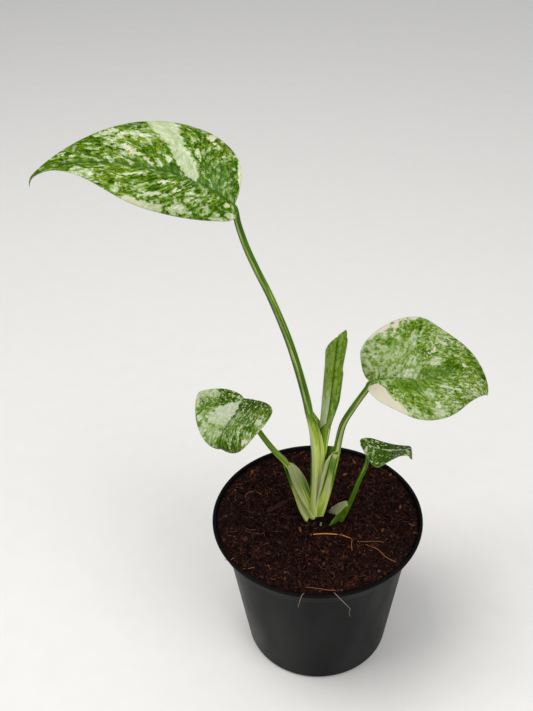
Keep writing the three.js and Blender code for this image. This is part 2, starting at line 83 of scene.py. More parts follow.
# Soil
SOIL_RIM_HEIGHT = 92.1 * MM
SOIL_CROWN_RISE = 0.8 * MM
SOIL_RELIEF = 0.45 * MM
SOIL_CLEARANCE = 0.3 * MM
SOIL_REACH = 57.6 * MM
SOIL_RINGS = 130
SOIL_SEGMENTS = 360

# Lumps of the soil in millimetres, as height, size and seed, and the heap at the crown: its place,
# its rise and the squares of its reach along X and Y
SOIL_LUMPS = ((0.6, 5.2, 1), (0.6, 2.3, 2), (0.4, 1.1, 3))
SOIL_HEAP_PLACE = (1.6, -5)
SOIL_HEAP_RISE = 3.2
SOIL_HEAP_SPREAD = (26, 10)

# Leaf blades in millimetres and degrees. The midrib starts at root and runs by heading (from +X
# towards +Y) and pitch (up), given at even places from junction to tip. Where a value comes in
# pairs, roll, fold and cup run from junction to tip, and half, widest, lobe, tip, shoulder and reach
# are the left and right sides: shoulder is how full a side is near the tip, tip and reach are how
# long it narrows there and how long it stays wide. Ripple is the height and the number of the waves
# along the margin, hook how far the tip bends down and from where, and veins how many side veins a
# side has. Ground is how pale the leaf is, grain and fine are how small the flecks are, specks is how
# strong the white specks are, partly the tissue's own and partly painted glints of light, and calm
# how faint the flecks are. Rows and columns make the grid.
BLADES = {
    "tall": {
        "root": (-38.6, 2.5, 290.2), "heading": (162, 185, 166.8), "pitch": (43.1, 17, 0.7, -48.1),
        "roll": (-36.5, -23.2), "length": 104.3, "half": (20.7, 30.8), "widest": (0.37, 0.224),
        "lobe": (0.096, -0.015), "tip": (0.335, 0.311), "shoulder": (0.084, 0.108),
        "reach": (0.456, 0.386), "hook": (37, 0.918), "fold": (9, 34), "cup": (-51.4, -42.9),
        "ripple": (0.35, 3.3), "rows": 220, "columns": 64, "veins": 9,
        "ground": 0.375, "grain": 1.3, "fine": 1.15, "specks": 0.35, "calm": 0.22,
    },
    "right": {
        "root": (27.9, 2.2, 188.8), "heading": (-17.1, 13, 16.1), "pitch": (33, -7, -18, -69.7),
        "roll": (31.7, 52.3), "length": 70.3, "half": (32, 22.8), "widest": (0.302, 0.3),
        "lobe": (0.091, 0.042), "tip": (0.089, 0.088), "shoulder": (0.115, 0.126),
        "reach": (0.48, 0.48), "hook": (0, 0.9), "fold": (33, 5), "cup": (4.5, -63.8),
        "ripple": (0.5, 4.2), "rows": 200, "columns": 64, "veins": 8,
        "ground": 0.52, "grain": 1.8, "fine": 1.7, "specks": 0.4, "calm": 0.38,
    },
    "left": {
        "root": (-38.7, 1, 178.2), "heading": (255.1, 242, 250.7),
        "pitch": (-5.3, -9.6, -10, -55.5, -150.6), "roll": (10, -6), "length": 36.8,
        "half": (26.8, 22.3), "widest": (0.359, 0.289), "lobe": (-0.047, 0.145),
        "tip": (0.187, 0.189), "shoulder": (0.46, 0.2), "reach": (0.48, 0.48), "hook": (0, 0.9),
        "fold": (23, 14.2), "cup": (7, 7.6), "ripple": (0.25, 3.1), "rows": 160, "columns": 56,
        "veins": 6, "ground": 0.4, "grain": 2.1, "fine": 2.0, "specks": 0.8, "calm": 0.1,
    },
    "low": {
        "root": (23.7, -0.6, 149.3), "heading": (1.3, -15.5, -18.5), "pitch": (-19.4, -5.7, 19, 7.6),
        "roll": (2.6, -20.1), "length": 31.6, "half": (5.9, 17.8), "widest": (0.237, 0.388),
        "lobe": (0.063, 0.054), "tip": (0.059, 0.095), "shoulder": (0.814, 0.448),
        "reach": (0.559, 0.182), "hook": (150, 0.77), "fold": (13.3, 0.7), "cup": (-18, -3.5),
        "ripple": (0.15, 2.4), "rows": 120, "columns": 44, "veins": 6,
        "ground": 0.16, "grain": 2.2, "fine": 2.2, "specks": 1.0, "calm": 0.0,
    },
}

# Relief of the blades in millimetres: height of the keel under the midrib and depth of the groove
# over it with their reach to both sides, how deep the side veins are sunk above and how far they
# stand out below, how far the skin swells between them, and the height, size and seed of its puckers
KEEL_HEIGHT = 0.9
KEEL_REACH = 0.95
GROOVE_DEPTH = 0.3
GROOVE_REACH = 0.75
VEIN_SUNK = 0.16
VEIN_RAISED = 0.14
SKIN_SWELL = 0.22
SKIN_PUCKERS = ((0.09, 3.1, 5), (0.05, 1.3, 9))

# Plan of the blades: points along a midrib, how blunt the tip is as a share of the length, the
# power by which the rows start nearer the junction, and how far the side veins run towards the tip
MIDRIB_POINTS = 161
TIP_WIDTH = 0.04
VEIN_LEAN = 1.5
VEIN_SLANT = 0.16

# Colour of the blades: how dark each midrib is, and the sizes in millimetres of the jags in a
# stroke's edge. The flecks are laid out in centimetres.
RIB_SHADE = {"tall": 1.0, "right": 0.35, "left": 1.7, "low": 0.0}
JAG_SIZES = (0.9, 1.7, 3.4)
CM_PER_MM = 0.1

# Pale sectors and streaks of each blade, and on the right blade one painted highlight. A row is a
# stroke that runs along the side veins: the
# place along the blade (0 junction, 1 tip) and across it (-1 left margin, 0 midrib, 1 right
# margin) where it starts and ends, its half width at both ends as a share of the length, and how
# pale, how cream and how pink it is.
STROKES = {
    "tall": [
        (0.362, -0.01, 0.4, 0.14, 0.03, 0.044, 0.74, 0.1, 0),
        (0.38, 0.08, 0.46, 0.29, 0.042, 0.05, 0.74, 0.1, 0),
        (0.436, 0.22, 0.54, 0.54, 0.051, 0.032, 0.74, 0.1, 0),
        (0.52, 0.45, 0.58, 0.8, 0.032, 0.036, 0.74, 0.1, 0),
        (0.565, 0.7, 0.61, 1.05, 0.035, 0.037, 0.76, 0.1, 0),
        (0.24, 0.07, 0.4, 0.28, 0.007, 0.008, 0.65, 0, 0),
        (0.45, 0.82, 0.46, 0.98, 0.022, 0.016, 0.95, 0.9, 0),
        (0.395, 0.36, 0.445, 0.52, 0.012, 0.014, 0.5, 0.8, 0),
        (0.2, 0.86, 0.22, 1.05, 0.035, 0.1, 0.9, 0.6, 0),
        (0.61, 0.56, 0.69, 0.73, 0.02, 0.028, 0.7, 0.1, 0),
        (0.61, 0.2, 0.66, 0.33, 0.018, 0.02, 0.9, 0.8, 0),
        (0.65, 0.3, 0.69, 0.42, 0.016, 0.012, 0.6, 0.1, 0),
        (0.725, 0.75, 0.76, 0.95, 0.03, 0.03, 0.6, 0.2, 0),
        (0.7, 0.56, 0.74, 0.66, 0.02, 0.015, 0.6, 0.1, 0),
        (0.73, 0.06, 0.76, 0.16, 0.014, 0.012, 0.65, 0, 0),
        (0.68, 0.02, 0.725, 0.2, 0.012, 0.012, 0.6, 0, 0),
        (0.61, 0.02, 0.67, 0.17, 0.008, 0.009, 0.65, 0, 0),
        (0.545, 0.04, 0.585, 0.2, 0.007, 0.008, 0.6, 0.7, 0),
        (0.515, 0.06, 0.535, 0.16, 0.01, 0.01, 0.65, 0.2, 0),
        (0.5, 0.17, 0.52, 0.25, 0.012, 0.012, 0.75, 0.3, 0),
        (0.54, -0.12, 0.64, -0.42, 0.012, 0.01, 0.7, 0.1, 0),
        (0.45, -0.56, 0.5, -0.64, 0.02, 0.02, 0.7, 0.1, 0),
        (0.49, -0.56, 0.55, -0.8, 0.016, 0.01, 0.7, 0.1, 0),
        (0.475, -0.27, 0.5, -0.36, 0.014, 0.012, 0.6, 0.1, 0),
        (0.56, -0.86, 0.565, -1.03, 0.03, 0.045, 0.9, 0.7, 0),
        (0.5, -0.84, 0.5, -1.02, 0.03, 0.035, 0.75, 0.2, 0),
        (0.41, -0.66, 0.43, -0.95, 0.014, 0.035, 0.7, 0.1, 0),
        (0.42, -0.36, 0.44, -0.48, 0.014, 0.014, 0.6, 0.5, 0),
        (0.41, -0.16, 0.47, -0.28, 0.008, 0.006, 0.6, 0.1, 0),
        (0.36, -0.36, 0.38, -0.46, 0.014, 0.01, 0.6, 0.1, 0),
        (0.36, -0.5, 0.38, -0.58, 0.016, 0.012, 0.65, 0.1, 0),
        (0.29, -0.6, 0.3, -0.9, 0.012, 0.024, 0.6, 0.1, 0),
        (0.24, -0.75, 0.25, -0.98, 0.02, 0.03, 0.55, 0.1, 0),
        (0.13, -0.2, 0.17, -0.46, 0.022, 0.024, 0.95, 0.8, 0),
        (0.15, -0.7, 0.16, -1.03, 0.03, 0.07, 0.6, 0.1, 0),
        (0.625, -0.68, 0.64, -0.92, 0.01, 0.02, 0.6, 0.1, 0),
        (0.79, -0.45, 0.77, -1.03, 0.035, 0.06, 0.45, 0.1, 0),
    ],
    "right": [
        (0.24, -0.99, 0.24, -1.05, 0.03, 0.05, 1.1, 0.3, 0.5),
        (0.31, -0.965, 0.31, -1.05, 0.025, 0.05, 1.05, 0.3, 0.7),
        (0.36, -0.88, 0.37, -1.05, 0.01, 0.035, 0.6, 0.3, 1),
        (0.41, -0.86, 0.415, -1.0, 0.012, 0.02, 0.5, 0.3, 0.9),
        (0.46, -0.95, 0.47, -1.05, 0.04, 0.05, 0.7, 0.3, 0.6),
        (0.2, 0.36, 0.3, 1.06, 0.03, 0.2, 1.1, 0.8, 0.5),
        (0.4, -0.02, 0.43, -0.16, 0.1, 0.03, 0.6, 0, 0.1),
        (0.53, -0.32, 0.6, -0.58, 0.003, 0.011, 1.0, 0.3, 0.6),
        (0.58, -0.25, 0.62, -0.42, 0.03, 0.035, 0.45, 0, 0.2),
        (0.662, -0.85, 0.67, -0.9, 0.009, 0.009, 1.1, 0, 0.2),
        (0.572, -0.61, 0.578, -0.66, 0.007, 0.007, 1.1, 0.3, 0),
        # painted highlight: a small white glare of the light on the blade
        (0.583, 0.58, 0.6, 0.72, 0.011, 0.011, 1.1, 0, 0.1),
        (0.19, -0.42, 0.215, -0.78, 0.012, 0.016, 0.6, 0.1, 0),
        (0.262, -0.55, 0.27, -0.65, 0.012, 0.012, 0.65, 0, 0),
        (0.44, -0.28, 0.46, -0.4, 0.007, 0.009, 0.75, 0, 0),
        (0.475, -0.53, 0.49, -0.72, 0.01, 0.016, 0.5, 0, 0),
        (0.61, -0.66, 0.63, -0.78, 0.02, 0.02, 0.45, 0.2, 0.4),
        (0.75, -0.42, 0.77, -0.56, 0.014, 0.014, 0.45, 0, 0),
        (0.64, 0.16, 0.735, 0.4, 0.02, 0.016, 0.75, 0.1, 0),
        (0.6, 0.62, 0.61, 0.98, 0.022, 0.03, 0.55, 0.1, 0),
        (0.545, 0.28, 0.565, 0.46, 0.02, 0.02, 0.4, 0, 0),
        (0.85, 0.6, 0.86, 1.03, 0.02, 0.03, 0.45, 0.1, 0),
        (0.77, -0.12, 0.79, -0.28, 0.012, 0.012, 0.45, 0.1, 0),
    ],
    "left": [
        (0.2, 0.04, 0.3, 0.2, 0.09, 0.05, 0.85, 0.1, 0),
        (0.34, 0.03, 0.42, 0.34, 0.12, 0.06, 0.98, 0.1, 0),
        (0.46, 0.02, 0.56, 0.46, 0.12, 0.05, 0.98, 0.1, 0),
        (0.58, 0.02, 0.67, 0.6, 0.11, 0.035, 0.75, 0.1, 0),
        (0.72, 0.02, 0.76, 0.3, 0.08, 0.04, 0.4, 0.1, 0),
        (0.37, 0.62, 0.45, 1.06, 0.03, 0.15, 0.6, 0.3, 0),
        (0.1, 0.1, 0.2, 0.56, 0.04, 0.05, 0.4, 0.1, 0.2),
        (0.58, 0.9, 0.6, 1.05, 0.02, 0.06, 0.6, 0.5, 0),
        (0.68, 0.78, 0.7, 0.95, 0.015, 0.02, 0.65, 0.2, 0),
        (0.78, 0.3, 0.82, 1.0, 0.03, 0.05, 0.35, 0.1, 0),
        (0.22, -0.1, 0.26, -0.36, 0.02, 0.02, 0.45, 0, 0),
        (0.66, -0.42, 0.8, -0.8, 0.016, 0.012, 0.55, 0.1, 0),
        (0.57, -0.78, 0.585, -0.9, 0.02, 0.02, 0.75, 0, 0.2),
        (0.555, -0.7, 0.565, -0.76, 0.009, 0.009, 0.8, 0, 0),
        (0.515, -0.74, 0.53, -0.8, 0.009, 0.01, 0.75, 0.6, 0),
        (0.73, -0.82, 0.75, -0.94, 0.014, 0.014, 0.9, 0.4, 0.9),
        (0.08, -0.12, 0.1, -0.34, 0.05, 0.16, 0.35, 0, 0),
        (0.45, -0.02, 0.5, -0.3, 0.06, 0.05, 0.2, 0, 0),
    ],
    "low": [
        (0.27, -0.2, 0.29, 0.22, 0.03, 0.03, 0.7, 0.1, 0),
        (0.29, -0.35, 0.28, -1.03, 0.04, 0.05, 0.4, 0.5, 0),
        (0.225, 0.3, 0.225, 1.04, 0.025, 0.03, 0.6, 0.5, 0),
        (0.38, 0.15, 0.37, 0.55, 0.02, 0.025, 0.25, 0, 0),
        (0.4, -0.02, 0.4, 0.1, 0.08, 0.08, 0.85, 0, 0),
        (0.63, 0.0, 0.63, 0.14, 0.12, 0.1, 1.0, 0, 0),
        (0.78, -0.02, 0.78, 0.16, 0.07, 0.07, 1.0, 0, 0),
        (0.86, -0.6, 0.86, 0.9, 0.012, 0.012, 0.65, 0.3, 0),
        (0.9, -1.0, 0.9, -0.4, 0.02, 0.02, 0.5, 0.7, 0),
    ],
}

# Wide zones of each blade: the middle along and across, the reach along and across, and what is
# added there to the pale, cream, grey and calm shares.
ZONES = {
    "tall": [
        (0.25, 0.35, 0.14, 0.4, 0.0, -0.2, 0.9, 0.2),
        (0.25, -0.4, 0.25, 0.5, 0.02, 0.1, 0.1, 0),
        (0.38, 0.85, 0.1, 0.2, 0.0, 0.8, 0, 0),
        (0.68, 0.35, 0.16, 0.5, 0.03, 0.3, 0.1, 0),
        (0.64, 0.5, 0.08, 0.15, 0.02, 0.5, 0, 0),
        (0.68, -0.5, 0.08, 0.5, -0.06, 0.9, -0.2, 0),
        (0.46, -0.25, 0.05, 0.15, -0.14, 0.2, 0, 0),
        (0.45, 0.95, 0.1, 0.14, -0.06, 0.3, 0, 0),
        (0.5, 0.02, 0.5, 0.1, -0.04, -0.3, 0.9, 0.2),
        (1.0, 0.0, 0.1, 1.5, -0.12, 0.5, 0, 0),
    ],
    "right": [
        (0.34, -0.45, 0.17, 0.38, 0.1, 0.0, 0.3, 0.32),
        (0.12, -0.1, 0.14, 0.4, 0.08, -0.1, 0.6, 0.1),
        (0.5, -0.85, 0.06, 0.08, -0.24, 0.5, 0, 0),
        (0.355, -0.74, 0.03, 0.06, -0.2, 0.2, 0, 0),
        (0.7, -0.36, 0.07, 0.16, -0.24, 0.1, 0, 0.2),
        (0.82, -0.85, 0.1, 0.2, -0.16, 0.1, 0, 0),
        (0.53, -0.46, 0.04, 0.08, -0.18, 0.3, 0, 0),
        (0.62, -0.15, 0.12, 0.12, -0.1, 0.0, 0.7, 0.2),
        (0.42, 0.2, 0.12, 0.2, -0.16, 0.1, 0, 0.3),
        (0.45, 0.5, 0.09, 0.2, -0.14, 0.7, 0, 0),
        (0.47, 0.2, 0.12, 0.2, -0.02, 0.0, 0.5, 0.2),
        (0.85, 0.0, 0.1, 0.6, 0.05, 0.9, 0, 0),
        (0.8, -0.6, 0.12, 0.4, -0.1, 0.2, 0, 0),
        (0.75, 0.8, 0.2, 0.3, 0.02, 0.2, 0, 0),
    ],
    "left": [
        (0.65, 0.6, 0.3, 0.6, 0.14, 0, 0.3, 0.2),
        (0.78, 0.3, 0.17, 0.45, 0.13, 0, 0.2, 0.22),
        (0.36, 0.45, 0.12, 0.22, -0.14, 0, 0, 0),
        (0.24, 0.8, 0.1, 0.3, -0.12, 0.1, 0, 0),
        (0.62, -0.25, 0.18, 0.3, 0.08, 0, 0.8, 0.1),
        (0.34, -0.2, 0.1, 0.24, -0.24, 0.2, 0, 0),
        (0.3, -0.75, 0.13, 0.45, -0.24, 0.3, -0.1, 0),
        (0.45, -0.7, 0.08, 0.25, -0.04, 0.95, 0, 0),
        (0.65, -0.6, 0.04, 0.12, -0.2, 0.3, 0, 0),
        (0.72, -1.0, 0.2, 0.14, 0.0, 1, 0, 0),
        (0.64, -0.8, 0.1, 0.2, 0.1, 0, 0.3, 0),
        (0.9, -0.3, 0.08, 0.8, -0.2, 0.2, 0, 0),
    ],
    "low": [
        (0.25, 0.0, 0.12, 0.6, 0.1, 0.1, 0.1, 0),
        (0.5, 0.5, 0.2, 0.4, 0.04, 0.1, 0, 0),
        (0.75, 0.7, 0.1, 0.4, -0.1, 0, 0, 0),
    ],
}

# Leaf stalks in millimetres and degrees. Each row is a point of the centre line with the stalk's
# radius there, the half width of the sheath, or 0 where there is none, and how far round each
# half of the sheath bends. The sheath opens towards the given direction.
STALKS = {
    "tall": {
        "opens": (1, -0.1, 0),
        "points": (
            (-2.4, 0.2, 83.5, 2.7, 3.6, 100), (-2.5, 0.2, 92, 2.7, 4, 110),
            (-2.3, 0.4, 104, 2.4, 4.6, 130), (-1.6, 0.7, 121, 2.2, 5.1, 130),
            (-1.3, 1, 143, 2.3, 5, 110), (-2, 1.1, 155, 2.3, 4.6, 80),
            (-2.9, 1.2, 161.5, 2.3, 3.6, 60), (-4.4, 1.3, 169, 2.25, 2.5, 40),
            (-5.9, 1.5, 178, 2.2, 0, 0),
            (-13.9, 2, 212.7, 2, 0, 0), (-23.3, 2.2, 241.5, 1.8, 0, 0),
            (-29.1, 2.2, 256, 1.75, 0, 0), (-33.6, 2.2, 268.4, 1.7, 0, 0),
            (-37, 2.3, 281, 1.6, 0, 0), (-38.3, 2.5, 289, 1.5, 0, 0),
        ),
    },
    "right": {
        "opens": (-1, -0.1, 0),
        "points": (
            (-0.6, -0.7, 83.5, 2.2, 3, 90), (0.6, -1, 92, 2.3, 3.1, 90),
            (2.2, -1.1, 99, 2.35, 3.5, 90), (4, -0.9, 107.5, 2.4, 4.5, 90),
            (5.9, -0.4, 116, 2.35, 5.8, 90), (7.5, 0.1, 124, 2.3, 6.6, 90),
            (8.8, 0.5, 131.5, 2.2, 6.8, 88), (9.9, 0.9, 138.2, 2.15, 7, 80),
            (10.4, 1.1, 141.5, 2.1, 5.2, 65), (10.8, 1.3, 144, 2.05, 0, 0),
            (13.6, 2, 160, 1.85, 0, 0), (18, 2, 170.1, 1.75, 0, 0),
            (22.3, 2, 178.3, 1.65, 0, 0), (26, 2.1, 185, 1.6, 0, 0),
            (27, 2.2, 187.5, 1.6, 0, 0),
        ),
    },
    "left": {
        "opens": (0.7, -0.52, 0.3),
        "points": (
            (-2.8, -0.8, 83.5, 2, 5, 190), (-4.5, -1.6, 92.8, 2.2, 5.4, 185),
            (-7.7, -1.6, 101.6, 2.2, 6.2, 140), (-10.7, -1.2, 112, 2.1, 6.7, 85),
            (-13.6, -0.7, 121.8, 1.95, 6.1, 65), (-15.2, -0.3, 127.6, 1.85, 4.6, 55),
            (-16.7, -0.1, 132.2, 1.75, 2.6, 45), (-17.8, 0, 134.8, 1.7, 0, 0),
            (-23.8, 0.5, 142.8, 1.65, 0, 0), (-30.9, 2, 153.8, 1.5, 0, 0),
            (-37, 3.5, 166, 1.4, 0, 0), (-38.6, 1, 176.9, 1.3, 0, 0),
        ),
    },
    "low": {
        "opens": (-0.9, 0.05, 0.35),
        "points": (
            (7.5, -1.8, 82, 1.6, 6.2, 60), (10.4, -2.6, 88, 1.8, 8, 70),
            (13.8, -3, 94.5, 1.8, 8.4, 78), (16, -2.6, 99.5, 1.6, 6.4, 75),
            (17.6, -2.3, 103.8, 1.45, 3.4, 50), (18.7, -2.2, 106.8, 1.4, 0, 0),
            (22.8, -1.4, 121.3, 1.25, 0, 0),
            (27.2, 0.3, 135, 1.15, 0, 0), (26.8, 0.2, 143, 1.1, 0, 0),
            (24.4, -0.6, 147.8, 1.1, 0, 0),
        ),
    },
    "rolled": {
        "opens": (0, -1, 0),
        "points": (
            (0.55, 0.1, 84, 1, 0, 0), (0.95, 0, 92, 1.1, 0, 0), (1.45, 0.05, 104, 1.2, 0, 0),
            (2.3, 0.3, 121, 1.6, 0, 0), (3.2, 0.7, 143, 2.1, 0, 0),
            (3.9, 1.2, 152, 2.4, 0, 0), (4.7, 1.7, 158, 2.5, 0, 0), (6.2, 2.2, 166, 1.4, 0, 0),
        ),
    },
}
STALK_STEPS = 220
ROD_STEPS = 9
SHEATH_STEPS = 9

# Top of a stalk in millimetres: how far it enters the blade and lies below its face, and how far
# it runs on under the midrib, how deep, and with which radius it ends
STALK_JOINT = 0.8
STALK_END_RUN = 5
STALK_END_DEPTH = 0.9
STALK_END_RADIUS = 0.45

# Rolled new leaf in millimetres and degrees: a spiral sheet round a leaning axis, from its outer
# edge at the front. The radii are those of the outer turn at even heights, and shrink is how much
# nearer the inner edge lies. Top and bottom are pairs of the place along the sheet (0 outer edge,
# 1 inner edge) and the height of its edge there. A flap of the sheet stands off the roll, with a
# slit at one side and a groove beside the other, where painted shadow darkens the sheet.
ROLL_AXIS = ((4.1, 1.7, 156), (7, 2, 185), (8.7, 2, 206), (10.4, 2.2, 221))
ROLL_RADII = (3.2, 4.8, 5.1, 6.2)
ROLL_TURN = 500
ROLL_START = -100
ROLL_SHRINK = 1.8
ROLL_TOP = ((0, 221.5), (0.036, 219), (0.116, 212.5), (0.166, 208.5), (0.276, 204), (0.416, 203),
            (0.516, 212), (0.566, 218), (0.586, 218.4), (0.601, 223.3), (0.621, 224.4), (0.696, 222.3),
            (0.776, 215), (1, 200))
ROLL_BOTTOM = ((0, 164), (0.1, 159), (0.25, 157), (1, 156))
ROLL_COLUMNS = 200
ROLL_ROWS = 110
ROLL_MIDDLE = (7, 2)
ROLL_FLAP_RISE = 0.8
# places along the sheet of the painted shadow lines in the slit and in the groove
ROLL_SLIT_SHADOW = 0.595
ROLL_GROOVE_SHADOW = 0.705

# Loose things on the soil, as places in millimetres from the pot's axis. A bark bit also has its
# size, and FEET the places round which crumbs are heaped, with their spread along X and Y.
FIBRE_STEPS = 48
ORANGE_FIBRE = ((-3.8, -14.6), (2, -14.2), (7.8, -14.4), (14, -15.3), (19, -16.9))
ORANGE_FIBRE_TAIL = ((19, -16.9), (19.4, -19), (19, -22.5), (19.3, -27))
WOOD_CHIP = (-22.8, 7)
WOOD_CHIP_TURN = radians(36)
WOOD_CHIP_HALF = (7.2, 1.7, 0.5)
BARK_BITS = ((47.9, 7.1, 3.2), (45.5, 4.6, 2.2), (-4.3, -36.8, 2.6), (16.7, 35.2, 2.8),
             (-39, 35.2, 3), (-23.7, 15, 1.4), (-9.5, -11.5, 3))
SPROUT = (1.9, -8.4)
SPROUT_RADIUS = 0.65
SPROUT_HEIGHT = 3.8
FEET = ((1.6, -5.6, 3.4, 1.4), (1.6, -5.4, 3.4, 1.4), (-5.5, -4.4, 1.4, 0.8), (2.5, -3.9, 2, 0.5),
        (10.5, -5.6, 1.6, 0.6))
LONG_FIBRES = (
    ((22.3, -19.8), (30, -19.2), (37.3, -19.5)),
    ((26.7, -21.2), (33, -25.0), (38, -31.0), (43, -33.5)),
    ((-41.2, 12.3), (-42.2, 16.5), (-38.6, 20.0), (-34.5, 19.2), (-32.6, 16.6)),
    ((51.7, -4.8), (54, -6.6), (55.6, -6.4)),
    ((-50.7, -33.2), (-48, -33.9), (-45.7, -32.2)),
    ((-40.3, -39.9), (-36.5, -39.9), (-33.8, -39.1)),
    ((-6, -52.1), (1, -53.2), (8, -54.0), (14, -53.6)),
)
ROOT_HAIRS = (
    ((-6.5, -55, 91.6), (-7.6, -58.4, 94.3), (-8.6, -60.5, 93.4), (-9.6, -60.3, 88), (-9.9, -59, 84.6)),
    ((9, -54.5, 91.6), (10.1, -58.2, 94.4), (12.3, -60.4, 93.6), (15.5, -60, 88.5), (17.6, -58.6, 83.5),
     (17.2, -57.4, 79), (18, -55.6, 73.5)),
)

# Camera: where it stands, how it is turned, and its lens on a sensor whose long side is 36 mm
CAMERA_PLACE = (0.0, -0.4018, 0.5031)
CAMERA_PITCH = 36.32
CAMERA_YAW = -3.68
CAMERA_ROLL = -2.01
CAMERA_LENS = 50.0
CAMERA_SENSOR = 36.0

# Stage in metres: where the two soft square lights stand and their sides, the point that both
# face, the sky's colour, and the floor's flat radius and the radius of its cove
KEY_LIGHT = ((-0.45, -0.12, 1.35), 0.8)
FILL_LIGHT = ((0.9, -0.8, 0.9), 1.0)
LIGHT_AIM = (0, 0, 0.15)
SKY_COLOUR = (0.95, 0.97, 1.0, 1.0)
FLOOR_FLAT = 2.2
FLOOR_COVE = 1.0

SEED = 7


def paint(red, green, blue):
    """Linear colour of a screen colour from 0 to 255: the standard display curve undone."""
    screen = np.array([red, green, blue]) / 255
    linear = np.where(screen > 0.04045, ((screen + 0.055) / 1.055) ** 2.4, screen / 12.92)
    return tuple(float(value) for value in linear)


def colour(name, description, *screen):
    """Colour setting whose default is given as a screen colour."""
    return bpy.props.FloatVectorProperty(name=name, description=description, subtype="COLOR",
                                         min=0, max=1, default=paint(*screen))


def length(name, description, default):
    """Length setting in metres."""
    return bpy.props.FloatProperty(name=name, description=description, default=default, min=0,
                                   subtype="DISTANCE", unit="LENGTH", precision=4)


class PotSizes(bpy.types.PropertyGroup):
    """Sizes and finish of the nursery pot"""

    height: length("Height", "Height over the lip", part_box("pot")[1].z)
    lip_radius: length("Lip radius", "Outer radius of the lip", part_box("pot")[1].y)
    base_radius: length("Base radius", "Outer radius at the floor", 42 * MM)
    wall: length("Wall", "Thickness of the wall", 1.1 * MM)
    rim_wall: length("Rim wall", "Thickness of the wall under the lip", 0.7 * MM)
    black: colour("Plastic", "Colour of the plastic", 9, 9, 10)
    dust: colour("Dust", "Colour of the dust on it", 66, 62, 60)


class SoilLook(bpy.types.PropertyGroup):
    """Make-up and colours of the potting mix"""

    crumbs: bpy.props.IntProperty(name="Crumbs", description="Number of crumbs", default=8600)
    strands: bpy.props.IntProperty(name="Strands", description="Number of coir strands", default=3200)
    dark: colour("Dark", "Wet peat and shade between crumbs", 9, 3, 3)
    brown: colour("Brown", "Coir crumbs", 32, 16, 14)
    rust: colour("Rust", "Dry coir strands", 80, 40, 28)
    tan: colour("Tan", "Pale chips and fibres", 150, 104, 74)
    orange: colour("Orange", "The long bright fibre", 222, 142, 74)
    hair: colour("Root hair", "Dried root hairs", 148, 132, 118)


class LeafLook(bpy.types.PropertyGroup):
    """Thickness and colours of the leaves"""

    thickness: length("Blade thickness", "Thickness of a blade by the midrib", 0.55 * MM)
    deep: colour("Deep green", "Darkest tissue", 36, 74, 4)
    green: colour("Green", "Green tissue", 62, 104, 9)
    middle: colour("Middle green", "Tissue a little paler", 94, 132, 34)
    light: colour("Light green", "Half-green tissue", 130, 158, 76)
    # the mint also draws the line along the margins, which is partly painted highlight
    mint: colour("Mint", "Nearly white tissue", 170, 190, 134)
    # the white also draws the specks, which are partly painted glints of light
    white: colour("White", "Tissue without green", 222, 227, 202)
    cream: colour("Cream", "Yellowish white tissue", 218, 213, 174)
    yellow: colour("Yellow green", "Yellowish green tissue", 142, 160, 34)
    grey: colour("Silver green", "Tissue with a layer of air under the skin", 96, 128, 68)
    pink: colour("Blush", "Pink breath on white tissue", 228, 212, 200)


class StalkLook(bpy.types.PropertyGroup):
    """Thickness of the sheaths and colours of the stalks"""

    sheath: length("Sheath thickness", "Thickness of a sheath", 0.6 * MM)
    green: colour("Green", "Green skin", 82, 124, 14)
    deep: colour("Deep green", "Shaded green skin", 42, 78, 3)
    lime: colour("Lime", "Skin near the soil", 190, 207, 90)
    pale: colour("Pale", "Pale stripes", 218, 226, 162)
    grey: colour("Grey", "Dull pale stripes and sheath faces", 168, 160, 140)


class StageLook(bpy.types.PropertyGroup):
    """Floor and lights"""

    floor: colour("Floor", "Colour of the floor", 236, 234, 230)
    key: bpy.props.FloatProperty(name="Key light", description="Power of the main light in watts",
                                 default=11.5, min=0, unit="POWER")
    fill: bpy.props.FloatProperty(name="Fill light", description="Power of the fill light in watts",
                                  default=8.5, min=0, unit="POWER")
    sky: bpy.props.FloatProperty(name="Sky", description="Strength of the even light all round",
                                 default=0.48, min=0)


